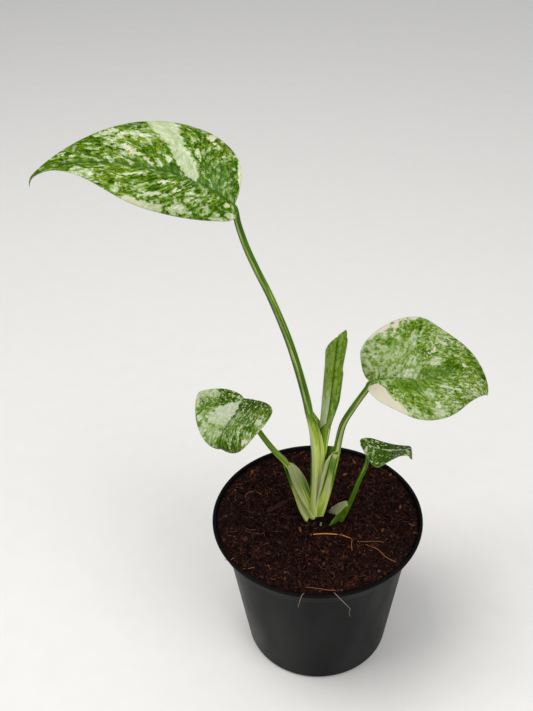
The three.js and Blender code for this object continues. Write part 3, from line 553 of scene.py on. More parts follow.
class Finish:
    """Material made by adding nodes. A socket given as a value is linked, any other is set."""

    def __init__(self, name):
        self.material = bpy.data.materials.new(name)
        self.material.use_nodes = True
        self.tree = self.material.node_tree
        self.tree.nodes.clear()

    def add(self, kind, inputs=None, **settings):
        node = self.tree.nodes.new("ShaderNode" + kind)
        for name, value in settings.items():
            setattr(node, name, value)
        for name, value in (inputs or {}).items():
            if isinstance(value, bpy.types.NodeSocket):
                self.tree.links.new(value, node.inputs[name])
            else:
                node.inputs[name].default_value = value
        return node

    def place(self):
        """Place on the object, in metres."""
        return self.add("TexCoord").outputs["Object"]

    def field(self, name):
        """Value of a mesh attribute."""
        return self.add("Attribute", attribute_name=name).outputs["Fac"]

    def vector(self, name):
        """Vector of a mesh attribute."""
        return self.add("Attribute", attribute_name=name).outputs["Vector"]

    def scaled(self, vector, *factors):
        return self.add("VectorMath", {0: vector, 1: factors}, operation="MULTIPLY").outputs[0]

    def sum(self, first, second):
        return self.add("VectorMath", {0: first, 1: second}, operation="ADD").outputs[0]

    def math(self, operation, first, second, clamp=False):
        return self.add("Math", {0: first, 1: second}, operation=operation, use_clamp=clamp).outputs[0]

    def times(self, first, second):
        return self.math("MULTIPLY", first, second)

    def plus(self, first, second):
        return self.math("ADD", first, second)

    def minus(self, first, second, clamp=False):
        return self.math("SUBTRACT", first, second, clamp)

    def swing(self, value, strength):
        """Value that lies around 0.5, brought around 0 and multiplied."""
        return self.times(self.minus(value, 0.5), strength)

    def clamped(self, value):
        """Value held between 0 and 1."""
        return self.add("Clamp", {0: value}).outputs[0]

    def noise(self, vector, scale, detail=3.0, roughness=0.55, colours=False):
        node = self.add("TexNoise", {"Vector": vector, "Scale": scale, "Detail": detail,
                                     "Roughness": roughness})
        return node.outputs["Color" if colours else "Fac"]

    def cells(self, vector, scale=1.0):
        """A random value from 0 to 1 that is the same all over each cell."""
        node = self.add("TexVoronoi", {"Vector": vector, "Scale": scale})
        return self.add("SeparateColor", {0: node.outputs["Color"]}).outputs[0]

    def edges(self, vector, scale=1.0):
        """Distance to the nearest edge between cells."""
        node = self.add("TexVoronoi", {"Vector": vector, "Scale": scale}, feature="DISTANCE_TO_EDGE")
        return node.outputs["Distance"]

    def between(self, value, low, high, start=0.0, end=1.0):
        """Smooth step from start to end while the value goes from low to high."""
        node = self.add("MapRange", {0: value, 1: low, 2: high, 3: start, 4: end},
                        interpolation_type="SMOOTHSTEP")
        return node.outputs[0]

    def mix(self, share, first, second):
        """The first colour where the share is 0 and the second where it is 1."""
        def solid(value):
            return value if isinstance(value, bpy.types.NodeSocket) else (*value[:3], 1.0)
        node = self.add("Mix", {0: share, 6: solid(first), 7: solid(second)}, data_type="RGBA")
        return node.outputs[2]

    def ramp(self, value, stops):
        """Colour of a value, blended between stops of a position and a colour."""
        node = self.add("ValToRGB", {0: value})
        elements = node.color_ramp.elements
        while len(elements) < len(stops):
            elements.new(0.5)
        for element, (position, tint) in zip(elements, stops):
            element.position = position
            element.color = (*tint[:3], 1.0)
        return node.outputs[0]

    def bump(self, height, depth, strength=1.0):
        """Normal of a relief whose heights from 0 to 1 stand for a depth in metres."""
        return self.add("Bump", {"Height": height, "Distance": depth, "Strength": strength}).outputs[0]

    def surface(self, **inputs):
        """Ends the material with the surface shader; an underscore in a name stands for a space."""
        shader = self.add("BsdfPrincipled", {name.replace("_", " "): value
                                             for name, value in inputs.items()})
        self.add("OutputMaterial", {"Surface": shader.outputs[0]})
        return self.material


def pot_plastic(sizes):
    """Black satin plastic with a fine grain, faint turning marks, smears and a breath of dust."""
    finish = Finish("pot_plastic")
    place = finish.place()
    smears = finish.noise(finish.scaled(place, 1, 1, 0.35), 42, 4)
    grain = finish.noise(place, 2600, 2)
    specks = finish.between(finish.noise(place, 900, 1), 0.7, 0.76)
    height = finish.add("SeparateXYZ", {0: place}).outputs[2]
    rings = finish.noise(finish.add("CombineXYZ", {2: height}).outputs[0], 1400, 1)
    tint = sizes.black
    for dusty, strength in ((finish.between(smears, 0.5, 0.8), 0.06), (specks, 0.2)):
        tint = finish.mix(finish.times(dusty, strength), tint, sizes.dust)
    relief = finish.plus(grain, finish.times(rings, 1.5))
    return finish.surface(
        Base_Color=tint, Roughness=finish.between(smears, 0.3, 0.75, 0.34, 0.5),
        Normal=finish.bump(relief, 0.00004, 0.5), IOR=1.45, Specular_IOR_Level=0.07)


def potting_mix(look):
    """Dark peat with brown and rusty crumbs, by noise at two sizes."""
    finish = Finish("potting_mix")
    place = finish.place()
    coarse = finish.noise(place, 260, 4)
    fine = finish.noise(place, 1300, 3)
    # the dark colour is wet peat together with painted shade between the crumbs
    tint = finish.mix(finish.between(coarse, 0.4, 0.7), look.dark, look.brown)
    tint = finish.mix(finish.between(fine, 0.56, 0.72, 0, 0.6), tint, look.rust)
    relief = finish.plus(coarse, fine)
    return finish.surface(Base_Color=tint, Roughness=finish.between(fine, 0.3, 0.7, 0.75, 0.98),
                          Specular_IOR_Level=0.06, Normal=finish.bump(relief, 0.0007))


def loose_bits(name, tones):
    """Crumbs, chips and strands: each takes its own tone between the given colours."""
    finish = Finish(name)
    place = finish.place()
    grain = finish.noise(place, 1900, 2)
    tone = finish.plus(finish.field("tone"), finish.swing(grain, 0.5))
    return finish.surface(
        Base_Color=finish.ramp(tone, tones), Roughness=finish.between(grain, 0.3, 0.7, 0.65, 0.95),
        Specular_IOR_Level=0.1, Normal=finish.bump(grain, 0.0002))


def root_skin(look):
    """Buff root skin with darker rings and soil stains."""
    finish = Finish("root_skin")
    place = finish.place()
    stains = finish.noise(place, 170, 4)
    rings = finish.noise(finish.scaled(place, 0.3, 0.3, 3), 420, 2)
    tint = finish.mix(finish.between(stains, 0.35, 0.7), look.tan, look.brown)
    return finish.surface(Base_Color=finish.mix(0.35, tint, finish.ramp(rings, (
        (0.3, look.brown), (0.7, look.tan)))), Roughness=finish.between(stains, 0.3, 0.7, 0.7, 0.9),
        Normal=finish.bump(rings, 0.0003))


def blade_skin(look):
    """Waxy marbled leaf. Angular flecks of three sizes, drawn out along the side veins and near the
    tip along the leaf, get one of six levels from deep green to white; the pale field lifts the
    level, so the flecks close up into sectors with ragged edges. Tiny white specks lie over them,
    partly the tissue's own and partly painted glints of light, and a mint line along the margin is
    partly painted highlight."""
    finish = Finish("blade_skin")
    veins, plan = finish.vector("vein_place"), finish.vector("plan")
    pale, cream, grey, under = (finish.field(name) for name in ("pale", "cream", "grey", "under"))
    warp = finish.noise(plan, 13, 3, 0.6, colours=True)
    warp = finish.scaled(finish.sum(warp, (-0.5, -0.5, -0.5)), 0.14, 0.16, 0)

    def flecks_on(place, wide, narrow):
        """Random levels of flecks that are longer one way than the other, the smallest flecks'
        own level, and the soft noise in them."""
        bent = finish.sum(place, warp)
        total = 0.0
        for scale, share in ((1.0, 0.5), (2.2, 0.64), (4.4, 0.2)):
            part = finish.cells(finish.scaled(bent, wide * scale, narrow * scale, 1))
            total = finish.plus(finish.swing(part, share), total)
        mottle = finish.noise(finish.scaled(bent, wide * 1.5, narrow * 1.5, 1), 1.0, 3, 0.6)
        return finish.plus(finish.swing(mottle, 0.7), total), part, mottle

    by_veins, small, mottle = flecks_on(veins, 4.9, 1.7)
    apart = finish.minus(flecks_on(plan, 1.8, 5.0)[0], by_veins)
    flecks = finish.plus(by_veins, finish.times(apart, finish.field("tipward")))
    level = finish.plus(pale, finish.times(flecks, finish.minus(1.0, finish.field("calm"))))
    whiteness = finish.between(level, 0.56, 0.74)
    # white specks, partly the tissue's own and partly painted glints of light on the skin
    specks = finish.between(finish.cells(finish.scaled(finish.sum(plan, warp), 5.5, 7, 1)), 0.91, 0.93)
    yellowish = finish.between(finish.plus(small, finish.times(cream, 0.4)), 0.75, 1.0, 0, 0.9)
    tint = finish.ramp(level, (
        (0.22, look.deep), (0.28, look.green), (0.38, look.green), (0.41, look.middle),
        (0.48, look.middle), (0.51, look.light), (0.58, look.light), (0.62, look.mint),
        (0.72, look.mint), (0.95, look.white)))
    for over, share, strength in (
            (look.white, specks, finish.field("specks")),
            (look.light, finish.times(finish.between(small, 0.55, 0.9), 0.35), whiteness),
            (look.yellow, yellowish, finish.minus(0.62, whiteness, clamp=True)),
            (look.cream, whiteness, finish.times(finish.clamped(cream), 0.85)),
            (look.pink, whiteness, finish.field("pink")),
            (look.grey, finish.clamped(grey), finish.times(finish.minus(1.0, whiteness), 0.35)),
            (look.deep, finish.field("rib"), 0.5), (look.grey, under, 0.4),
            # mint line along the margin: partly the pale rim of the tissue, partly painted highlight
            (look.mint, finish.field("edge"), 0.3)):
        tint = finish.mix(finish.times(share, strength), tint, over)
    net = finish.between(finish.edges(finish.sum(plan, warp), 11), 0.0, 0.16)
    relief = finish.plus(net, finish.times(finish.noise(plan, 60, 3), 0.8))
    gloss = finish.plus(finish.between(mottle, 0.3, 0.7, 0.27, 0.38), finish.times(under, 0.18))
    return finish.surface(
        Base_Color=tint, Roughness=gloss, Normal=finish.bump(relief, 0.00018, 0.8), IOR=1.42,
        Specular_IOR_Level=0.06, Specular_Tint=(0.7, 0.9, 0.3, 1))


def stalk_skin(look):
    """Smooth stalk skin with stripes along it, from deep green to lime and cream."""
    finish = Finish("stalk_skin")
    place = finish.vector("stalk_place")
    pale, lime, grey = (finish.field(name) for name in ("pale", "lime", "grey"))
    stripes = finish.noise(finish.scaled(place, 1.6, 0.05, 1), 4.5, 4, 0.6)
    threads = finish.noise(finish.scaled(place, 9, 0.12, 1), 5, 2)
    level = pale
    for lines, strength in ((stripes, 1.6), (threads, 0.5)):
        level = finish.plus(level, finish.swing(lines, strength))
    tint = finish.ramp(level, (
        (0.1, look.deep), (0.38, look.green), (0.62, look.lime), (0.9, look.pale)))
    for over, share, strength in (
            (look.lime, lime, 0.7), (look.grey, grey, finish.between(level, 0.2, 0.7, 0.45, 1))):
        tint = finish.mix(finish.times(share, strength), tint, over)
    return finish.surface(
        Base_Color=tint, Roughness=finish.between(stripes, 0.3, 0.7, 0.32, 0.44),
        Normal=finish.bump(threads, 0.00006, 0.7), IOR=1.42, Specular_IOR_Level=0.14,
        Subsurface_Weight=0.1, Subsurface_Radius=(0.6, 0.8, 0.3), Subsurface_Scale=0.0012)


def cells(rows, columns, wrap=False):
    """Corners of the cells of a grid of points stored row by row: each cell joins two neighbours
    of one row to the same two of the next. Wrap joins the last column to the first."""
    i = np.arange(rows - 1)[:, None]
    j = np.arange(columns if wrap else columns - 1)[None, :]
    k = (j + 1) % columns
    corners = [i * columns + j, i * columns + k, (i + 1) * columns + k, (i + 1) * columns + j]
    return np.stack(np.broadcast_arrays(*corners), -1).reshape(-1, 4)


def linked(name, data):
    """New object in the scene."""
    made = bpy.data.objects.new(name, data)
    bpy.context.scene.collection.objects.link(made)
    return made


def bare_mesh(name, points, faces):
    """Mesh from an array of points and an array of faces."""
    mesh = bpy.data.meshes.new(name)
    mesh.vertices.add(len(points))
    mesh.vertices.foreach_set("co", points.astype(np.float32).ravel())
    mesh.loops.add(faces.size)
    mesh.loops.foreach_set("vertex_index", faces.astype(np.int32).ravel())
    mesh.polygons.add(len(faces))
    mesh.polygons.foreach_set("loop_start", np.arange(len(faces), dtype=np.int32) * faces.shape[1])
    mesh.update(calc_edges=True)
    return mesh


def shown(name, mesh, material, soft=True):
    """Object that shows a mesh in its material, with soft or hard edges between the faces."""
    mesh.polygons.foreach_set("use_smooth", np.full(len(mesh.polygons), soft))
    mesh.update()
    mesh.materials.append(material)
    return linked(name, mesh)


def piece(name, points, faces, material, stands_for=(), fields=None, soft=True, weld=True):
    """Piece of the plant or the pot, with its fields. Points that lie together are merged, which
    closes seams and poles, and the faces of the closed shell are turned outwards."""
    mesh = bare_mesh(name, points, faces)
    for field, values in (fields or {}).items():
        flat = values.ndim == 1
        layer = mesh.attributes.new(field, "FLOAT" if flat else "FLOAT_VECTOR", "POINT")
        layer.data.foreach_set("value" if flat else "vector", values.astype(np.float32).ravel())
    if weld:
        shell = bmesh.new()
        shell.from_mesh(mesh)
        bmesh.ops.remove_doubles(shell, verts=shell.verts, dist=1e-6)
        bmesh.ops.recalc_face_normals(shell, faces=shell.faces)
        shell.to_mesh(mesh)
        shell.free()
    made = shown(name, mesh, material, soft)
    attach(made, "root")
    if stands_for:
        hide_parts(*stands_for)


def grid_piece(name, grid, material, fields, stands_for=()):
    """Piece from a grid of points in millimetres whose rows are rings, with fields on the grid."""
    fields = {key: value.reshape(-1, *value.shape[2:]) for key, value in fields.items()}
    piece(name, grid.reshape(-1, 3) * MM, cells(*grid.shape[:2], wrap=True), material,
          stands_for, fields)


def unit(vectors):
    """Vectors divided by their lengths."""
    return vectors / np.maximum(np.linalg.norm(vectors, axis=-1, keepdims=True), 1e-12)


def through(values, t):
    """Curve of lowest degree through evenly spaced values: each value times the product of
    (t - other place) over (own place - other place)."""
    places = np.linspace(0, 1, len(values))
    total = 0
    for i, value in enumerate(values):
        others = np.delete(places, i)
        total = total + value * np.prod((t[..., None] - others) / (places[i] - others), axis=-1)
    return total


def along(values, t):
    """Broken line through evenly spaced values."""
    return np.interp(t, np.linspace(0, 1, len(values)), values)


def path(points, t):
    """Smooth curve through points: on each span a cubic whose end slopes come from the
    neighbouring points, timed by the square root of the distance between points."""
    points = np.asarray(points, float)
    ends = np.vstack([2 * points[:1] - points[1:2], points, 2 * points[-1:] - points[-2:-1]])
    spans = np.sqrt(np.linalg.norm(np.diff(ends, axis=0), axis=1))
    at = np.clip(t, 0, 1) * (len(points) - 1)
    i = np.minimum(at.astype(int), len(points) - 2)
    w = (at - i)[:, None]
    a, b, c, d = (ends[i + k] for k in range(4))
    before, here, after = (spans[i + k][:, None] for k in range(3))
    slope_in = here * ((b - a) / before - (c - a) / (before + here) + (c - b) / here)
    slope_out = here * ((c - b) / here - (d - b) / (here + after) + (d - c) / after)
    return (b + slope_in * w + (3 * (c - b) - 2 * slope_in - slope_out) * w ** 2
            + (2 * (b - c) + slope_in + slope_out) * w ** 3)


def bezier(corners, t):
    """Cubic curve of four corners at t."""
    t = t[..., None]
    a, b, c, d = (np.asarray(corner, float) for corner in corners)
    return a * (1 - t) ** 3 + 3 * b * t * (1 - t) ** 2 + 3 * c * t ** 2 * (1 - t) + d * t ** 3


def patchy(x, y, size, seed):
    """Smooth random heights from -1 to 1: a lattice of random values, blended between its points."""
    table = np.random.default_rng(seed).uniform(-1, 1, (64, 64))
    u, v = x / size, y / size
    i, j = np.floor(u).astype(int), np.floor(v).astype(int)
    u, v = u - i, v - j
    u, v = u * u * (3 - 2 * u), v * v * (3 - 2 * v)

    def corner(di, dj):
        return table[(i + di) % 64, (j + dj) % 64]

    return ((corner(0, 0) * (1 - u) + corner(1, 0) * u) * (1 - v)
            + (corner(0, 1) * (1 - u) + corner(1, 1) * u) * v)


def half_outline(blade, side, t):
    """Flat half outline: one cubic curve from the junction round the lobe to the widest place and
    one from there to the tip, which ends as bluntly as a root curve. Gives the distances along
    and across."""
    size, half = blade["length"], blade["half"][side]
    lobe, widest = blade["lobe"][side] * size, blade["widest"][side] * size
    first = bezier(((0, 0), (-1.33 * lobe, 0.18 * half), (widest - 0.62 * (widest + lobe), half),
                    (widest, half)), np.clip(2 * t, 0, 1))
    tip, shoulder, reach = (blade[key][side] for key in ("tip", "shoulder", "reach"))
    second = bezier(((widest, half), (widest + reach * (size - widest), half),
                     (size - tip * size, shoulder * half), (size, 0)), np.clip(2 * t - 1, 0, 1))
    blunt = TIP_WIDTH * size * np.sqrt(np.clip(2 - 2 * t, 0, 0.3)) * (t > 0.9)
    second[..., 1] = np.maximum(second[..., 1], blunt)
    return np.where((t < 0.5)[..., None], first, second)


def midrib(blade):
    """Places, directions, sideways axes and face normals along the midrib: its direction follows
    heading and pitch and is added up step by step."""
    u = np.linspace(0, 1, MIDRIB_POINTS)
    heading = np.radians(through(blade["heading"], u))
    pitch = np.radians(through(blade["pitch"], u) - blade["hook"][0] * smooth(u, blade["hook"][1], 1))
    roll = np.radians(along(blade["roll"], u))[:, None]
    ahead = np.stack([np.cos(heading) * np.cos(pitch), np.sin(heading) * np.cos(pitch),
                      np.sin(pitch)], -1)
    level = np.stack([-np.sin(heading), np.cos(heading), np.zeros_like(u)], -1)
    up = np.cross(ahead, level)
    steps = (ahead[1:] + ahead[:-1]) / 2 * blade["length"] / (MIDRIB_POINTS - 1)
    places = np.asarray(blade["root"]) + np.vstack([np.zeros(3), np.cumsum(steps, axis=0)])
    return (places, ahead, level * np.cos(roll) + up * np.sin(roll),
            up * np.cos(roll) - level * np.sin(roll))


def blade_sheet(blade):
    """Middle sheet of a blade. A row follows one side vein from the midrib to the margin, leaning
    towards the tip; across it the sheet leaves the midrib at the fold angle and bends by the cup
    angle. Gives the points and, for each, t along, v across (-1 to 1), and its flat place."""
    t = np.linspace(0, 1, blade["rows"])[:, None]
    across = np.linspace(-1, 1, 2 * blade["columns"] + 1)
    v = np.sign(across) * np.abs(across) ** 1.25
    frames = midrib(blade)
    size = blade["length"]
    flat = np.empty((len(t), len(v), 2))
    points = np.empty((len(t), len(v), 3))
    for side, sign in ((0, 1), (1, -1)):
        chosen = v <= 0 if side == 0 else v >= 0
        share = np.abs(v[chosen])
        edge = half_outline(blade, side, t[:, 0])
        x = size * t ** VEIN_LEAN * (1 - share) + edge[:, :1] * share
        y = edge[:, 1:] * share
        held = np.clip(x, 0, size)
        stations = np.linspace(0, size, MIDRIB_POINTS)
        place, ahead, sideways, normal = (
            np.stack([np.interp(held, stations, part[:, k]) for k in range(3)], -1) for part in frames)
        fold = np.radians(along(blade["fold"], held / size))
        cup = np.radians(along(blade["cup"], held / size))
        half = blade["half"][side]
        bend = cup * y / half
        out = half * (np.sin(fold + bend) - np.sin(fold)) / cup
        rise = half * (np.cos(fold) - np.cos(fold + bend)) / cup
        points[:, chosen] = (place + ahead * (x - held)[..., None] + sideways * (sign * out)[..., None]
                             + normal * rise[..., None])
        flat[:, chosen] = np.stack([x, -sign * y], -1)
    shape = (len(t), len(v))
    return points, np.broadcast_to(t, shape), np.broadcast_to(v, shape), flat


def sheet_normals(points):
    """Upward normals of a blade's grid of points: the cross product of its two directions,
    borrowed from the next row where a row has shrunk to a point."""
    down, over = np.gradient(points, axis=0), np.gradient(points, axis=1)
    normals = np.cross(over, down)
    normals[0], normals[-1] = normals[2], normals[-3]
    normals[1], normals[-2] = normals[2], normals[-3]
    return unit(normals)


def stroke_field(stroke, t, v):
    """How much of a stroke covers each place: 1 inside, 0 outside, with a soft edge. The centre
    line and the half width go evenly from start to end, and both ends are rounded off."""
    t0, v0, t1, v1, wide0, wide1 = stroke[:6]
    u = (v - v0) / (v1 - v0)
    inside = np.clip(u, 0, 1)
    centre = t0 + (t1 - t0) * inside
    wide = (wide0 + (wide1 - wide0) * inside) * np.sqrt(np.clip(1 - (2 * inside - 1) ** 8, 0.02, 1))
    off = np.hypot((t - centre) / wide, np.where(u < 0, u, np.maximum(u - 1, 0)) * 6)
    return np.clip((1.2 - off) / 0.3, 0, 1)


def blade_fields(name, blade, t, v, flat):
    """Pale, cream, grey, pink and calm shares of a blade from its strokes and zones, and how far
    the flecks turn from the side veins to the leaf's own length. Small random shifts of the place
    make the strokes' edges ragged."""
    pale = np.full(t.shape, float(blade["ground"]))
    cream, grey, pink = np.full(t.shape, 0.15), np.zeros(t.shape), np.zeros(t.shape)
    calm = np.full(t.shape, float(blade["calm"]))
    for at_t, at_v, reach_t, reach_v, *added in ZONES[name]:
        weight = np.exp(-(((t - at_t) / reach_t) ** 2 + ((v - at_v) / reach_v) ** 2))
        pale, cream, grey, calm = (field + weight * share
                                   for field, share in zip((pale, cream, grey, calm), added))

    def jagged(place, reach, seed):
        """Place shifted by random lumps of each size."""
        return place + sum(reach / size * patchy(flat[..., 0], flat[..., 1], size, seed + int(size * 10))
                           for size in JAG_SIZES)

    jagged_t, jagged_v = jagged(t, 0.006, 21), jagged(v, 0.03, 77)
    for stroke in STROKES[name]:
        cover = stroke_field(stroke, jagged_t, jagged_v)
        paleness, creaminess, blush = stroke[6:]
        pale = np.maximum(pale, pale * (1 - cover) + cover * (0.48 + 0.46 * paleness))
        cream = cream * (1 - cover) + cover * creaminess
        pink = np.maximum(pink, cover * blush)
        wide = smooth(max(stroke[4:6]), 0.025, 0.035)
        calm = np.maximum(calm, cover * smooth(paleness, 0.55, 0.8) * (0.25 + 0.5 * wide))
    tipward = smooth(t, 0.45, 0.7) if name in ("tall", "right") else np.full(t.shape, 0.5)
    # specks: strength of the white specks, partly the tissue's own and partly painted glints of light
    return {"pale": pale, "cream": cream, "grey": grey, "pink": pink, "calm": calm,
            "tipward": tipward, "specks": np.clip(blade["specks"] * (1.3 - calm), 0, 1)}


def vein_spacing(blade, slanted, v):
    """Distance across the side veins from the junction to a vein: the steps between the middles of
    neighbouring rows, taken square to the row and added up."""
    size = blade["length"]
    t = np.linspace(0, 1, 201)
    total = np.zeros_like(slanted)
    for side, chosen in ((0, v < 0), (1, v >= 0)):
        edge = half_outline(blade, side, t)
        start = np.stack([size * t ** VEIN_LEAN, np.zeros_like(t)], -1)
        row, middle = unit(edge - start), (edge + start) / 2
        step = np.diff(middle, axis=0)
        gap = np.abs(step[:, 0] * row[1:, 1] - step[:, 1] * row[1:, 0])
        reach = np.concatenate([[0], np.cumsum(gap)])
        inside = np.interp(slanted, t, reach) + np.minimum(slanted, 0) * reach[100] * 2
        total = np.where(chosen, inside, total)
    return total


def along_veins(flat, t, blade):
    """Distance from the midrib along a row."""
    return np.hypot(flat[..., 0] - blade["length"] * t ** VEIN_LEAN, flat[..., 1])


def blade_faces(blade, look, points, t, v, flat, slanted):
    """Upper and lower face of a blade, and half its thickness at the margins. The midrib is a
    groove above and a keel below, side veins are sunk above and stand out below, the skin swells
    and puckers a little between them, and the margin ripples."""
    normals = sheet_normals(points)
    off_rib = np.abs(flat[..., 1])
    wave = np.cos(2 * np.pi * (slanted * blade["veins"] + 0.25 * np.sign(v)))
    vein = np.clip(wave, 0, 1) ** 14
    swell = (1 - wave) / 2
    pucker = sum(height * patchy(flat[..., 0], flat[..., 1], size, seed)
                 for height, size, seed in SKIN_PUCKERS)
    waves, times = blade["ripple"]
    ripple = waves * v ** 2 * np.abs(v) * np.sin(2 * np.pi * times * t + np.where(v < 0, 0.8, 2.9))
    ripple = ripple * np.sin(np.pi * t) ** 0.5
    body = np.clip(off_rib / 2.5, 0, 1) * (1 - np.abs(v) ** 6) * np.clip(8 * t, 0, 1)
    thick = look.thickness / MM / 2 * (1 - 0.45 * np.abs(v) ** 3)
    taper = np.clip(20 * t, 0, 1) * np.clip(30 * (1 - t), 0, 1)
    groove = GROOVE_DEPTH * (1 - 0.75 * t) * np.exp(-(off_rib / GROOVE_REACH) ** 2)
    keel = KEEL_HEIGHT * (1 - t) * np.clip(9 * t, 0, 1) * np.exp(-(off_rib / KEEL_REACH) ** 2)
    middle = (ripple + body * (SKIN_SWELL * swell + pucker)) * taper
    above = thick - groove - VEIN_SUNK * vein * body
    below = thick + keel + VEIN_RAISED * vein * body
    upper = points + normals * (middle + taper * above)[..., None]
    lower = points + normals * (middle - taper * below)[..., None]
    return upper, lower, (thick * taper)[:, :1]


def round_ring(field, margin=None):
    """Values round a blade from those of its sheet: above, right margin, below, left margin."""
    right, left = (field[:, -1:], field[:, :1]) if margin is None else (margin, margin)
    return np.concatenate([field, right, field[:, ::-1], left], axis=1)


def blade_pattern(name, blade, t, v, flat, slanted):
    """Fields of a blade's skin round the blade: the shares of its colours, the places of its flecks
    along the side veins and in the plan of the leaf, its midrib, margin and underside."""
    fields = {key: round_ring(value)
              for key, value in blade_fields(name, blade, t, v, flat).items()}
    apart = np.where(v < 0, 3.7, 0.0) + 11 * list(BLADES).index(name)
    veins = np.stack([vein_spacing(blade, slanted, v) * CM_PER_MM,
                      along_veins(flat, t, blade) * CM_PER_MM * blade["grain"], apart], -1)
    plan = np.stack([*(CM_PER_MM * blade["fine"] * np.moveaxis(flat, -1, 0)), np.zeros_like(t)], -1)
    fields["vein_place"], fields["plan"] = round_ring(veins), round_ring(plan)
    if name == "left":
        rib = np.exp(-((flat[..., 1] + 0.5) / 0.5) ** 2) * smooth(t, 0.15, 0.35)
    else:
        rib = np.exp(-(np.abs(flat[..., 1]) / 0.4) ** 2) * (1 - 0.4 * t)
    fields["rib"] = round_ring(RIB_SHADE[name] * rib)
    one = np.ones((len(t), 1))
    # edge: mint line along the margin, partly the pale rim of the tissue and partly painted highlight
    edge = np.clip((np.abs(v) - 0.975) / 0.025, 0, 1)
    fields["edge"] = round_ring(edge, one)
    fields["under"] = np.concatenate([0 * t, 0.5 * one, 1 + 0 * t, 0.5 * one], axis=1)
    return fields


def blade_piece(name, blade, look, material):
    """Closed blade: upper face, rounded right margin, lower face and rounded left margin make one
    ring of points per row of the sheet."""
    points, t, v, flat = blade_sheet(blade)
    slanted = t - VEIN_SLANT * np.abs(v) ** 0.85
    upper, lower, rim = blade_faces(blade, look, points, t, v, flat, slanted)
    left = (upper[:, 0] + lower[:, 0]) / 2 + unit(points[:, 0] - points[:, 2]) * rim
    right = (upper[:, -1] + lower[:, -1]) / 2 + unit(points[:, -1] - points[:, -3]) * rim
    ring = np.concatenate([upper, right[:, None], lower[:, ::-1], left[:, None]], axis=1)
    fields = blade_pattern(name, blade, t, v, flat, slanted)
    grid_piece(f"blade_{name}_leaf", ring, material, fields, (f"blade_{name}",))


def stalk_section(a_share, radius, wing, wrap, thickness):
    """Outer and inner places of a stalk's section: a round rod that carries a sheet on its inner
    side. The flat section is bent into an arc, so that both halves of the sheet curl round."""
    reach = np.maximum(radius, wing)
    share = np.clip(1.5 * (reach / radius - 1), 0, 1)
    level = share * (radius - thickness / 2)
    bend = np.maximum(np.radians(wrap), 1e-4) / reach
    core = np.minimum(radius, 0.72 * reach)
    step = np.abs(a_share) * (ROD_STEPS + SHEATH_STEPS)
    on_rod = np.clip(step / ROD_STEPS, 0, 1)
    on_sheet = np.clip((step - ROD_STEPS) / SHEATH_STEPS, 0, 1)
    a = np.sign(a_share) * (core * np.sin(np.pi / 2 * on_rod)
                            + (reach - core) * np.sin(np.pi / 2 * on_sheet))
    round_part = np.sqrt(np.maximum(radius ** 2 - a ** 2, 0))
    edge = thickness / 2 * np.sqrt(np.maximum(1 - (a / reach) ** 2, 0))
    outer = np.where(np.abs(a) < radius, np.minimum(-round_part, level - edge), level - edge)
    inner = np.maximum(level + edge, (1 - share) * round_part)

    def bent(y):
        """Flat section bent round a circle whose arc is as long as the section is wide."""
        far = 1 / bend - (y - level)
        return far * np.sin(a * bend), level + 1 / bend - far * np.cos(a * bend)

    return bent(outer), bent(inner), a / reach


def stalk_piece(name, stalk, look, material):
    """Stalk swept along its smooth centre line, with the rod's radius, the sheath's width and its
    curl taken between the table's rows. The foot is in the soil and the top runs into the keel."""
    rows = np.array(stalk["points"], float)
    if name in BLADES:
        root, ahead, _, normal = (part[0] for part in midrib(BLADES[name]))
        joint = root + (ahead - normal) * STALK_JOINT
        under = root + ahead * STALK_END_RUN - normal * STALK_END_DEPTH
        rows = np.vstack([rows, [*joint, rows[-1, 3] * 0.95, 0, 0], [*under, STALK_END_RADIUS, 0, 0]])
    t = np.linspace(0, 1, STALK_STEPS)
    centre = path(rows[:, :3], t)
    ahead = unit(np.gradient(centre, axis=0))
    opens = np.asarray(stalk["opens"], float)
    inward = unit(opens - ahead * (ahead @ opens)[:, None])
    across = np.cross(ahead, inward)
    radius, wing, wrap = (along(rows[:, k], t)[:, None] for k in (3, 4, 5))
    share = np.linspace(-1, 1, 2 * (ROD_STEPS + SHEATH_STEPS) + 1)[None, :]
    outer, inner, spread = stalk_section(share, radius, wing, wrap, look.sheath / MM)

    def placed(section):
        """Points of a flat section on every frame of the centre line."""
        return (centre[:, None] + across[:, None] * section[0][..., None]
                + inward[:, None] * section[1][..., None])

    ring = np.concatenate([placed(outer), placed(inner)[:, -2:0:-1]], axis=1)
    spread = np.concatenate([spread, spread[:, -2:0:-1]], axis=1)
    face = np.concatenate([np.zeros((len(t), share.size)), np.ones((len(t), share.size - 2))], axis=1)
    foot = np.broadcast_to(ring[:1].mean(axis=1, keepdims=True), ring[:1].shape)
    head = np.broadcast_to(ring[-1:].mean(axis=1, keepdims=True), ring[-1:].shape)
    ring = np.concatenate([foot, ring, head])

    def capped(field):
        """Field with its first and last row doubled, for the foot's and the head's closing point."""
        return np.concatenate([field[:1], field, field[-1:]])

    spread, face = capped(spread), capped(face)
    from_middle = spread * capped(np.maximum(radius, wing) + 0 * spread[1:-1])
    height = ring[..., 2]
    wings = capped(np.clip(wing / radius - 1, 0, 1.5) + 0 * t[:, None])
    run = capped(np.cumsum(np.linalg.norm(np.gradient(centre, axis=0), axis=1))[:, None]) * 0.1
    fields = stalk_fields(name, spread, face, wings, height)
    fields["stalk_place"] = np.stack([from_middle * 0.22, run + 0 * spread, face * 2 + 5 * len(name)], -1)
    grid_piece(f"stalk_{name}_stem", ring, material, fields, (f"stalk_{name}",))


def smooth(value, low, high):
    """Smooth step from 0 at low to 1 at high."""
    share = np.clip((value - low) / (high - low), 0, 1)
    return share * share * (3 - 2 * share)


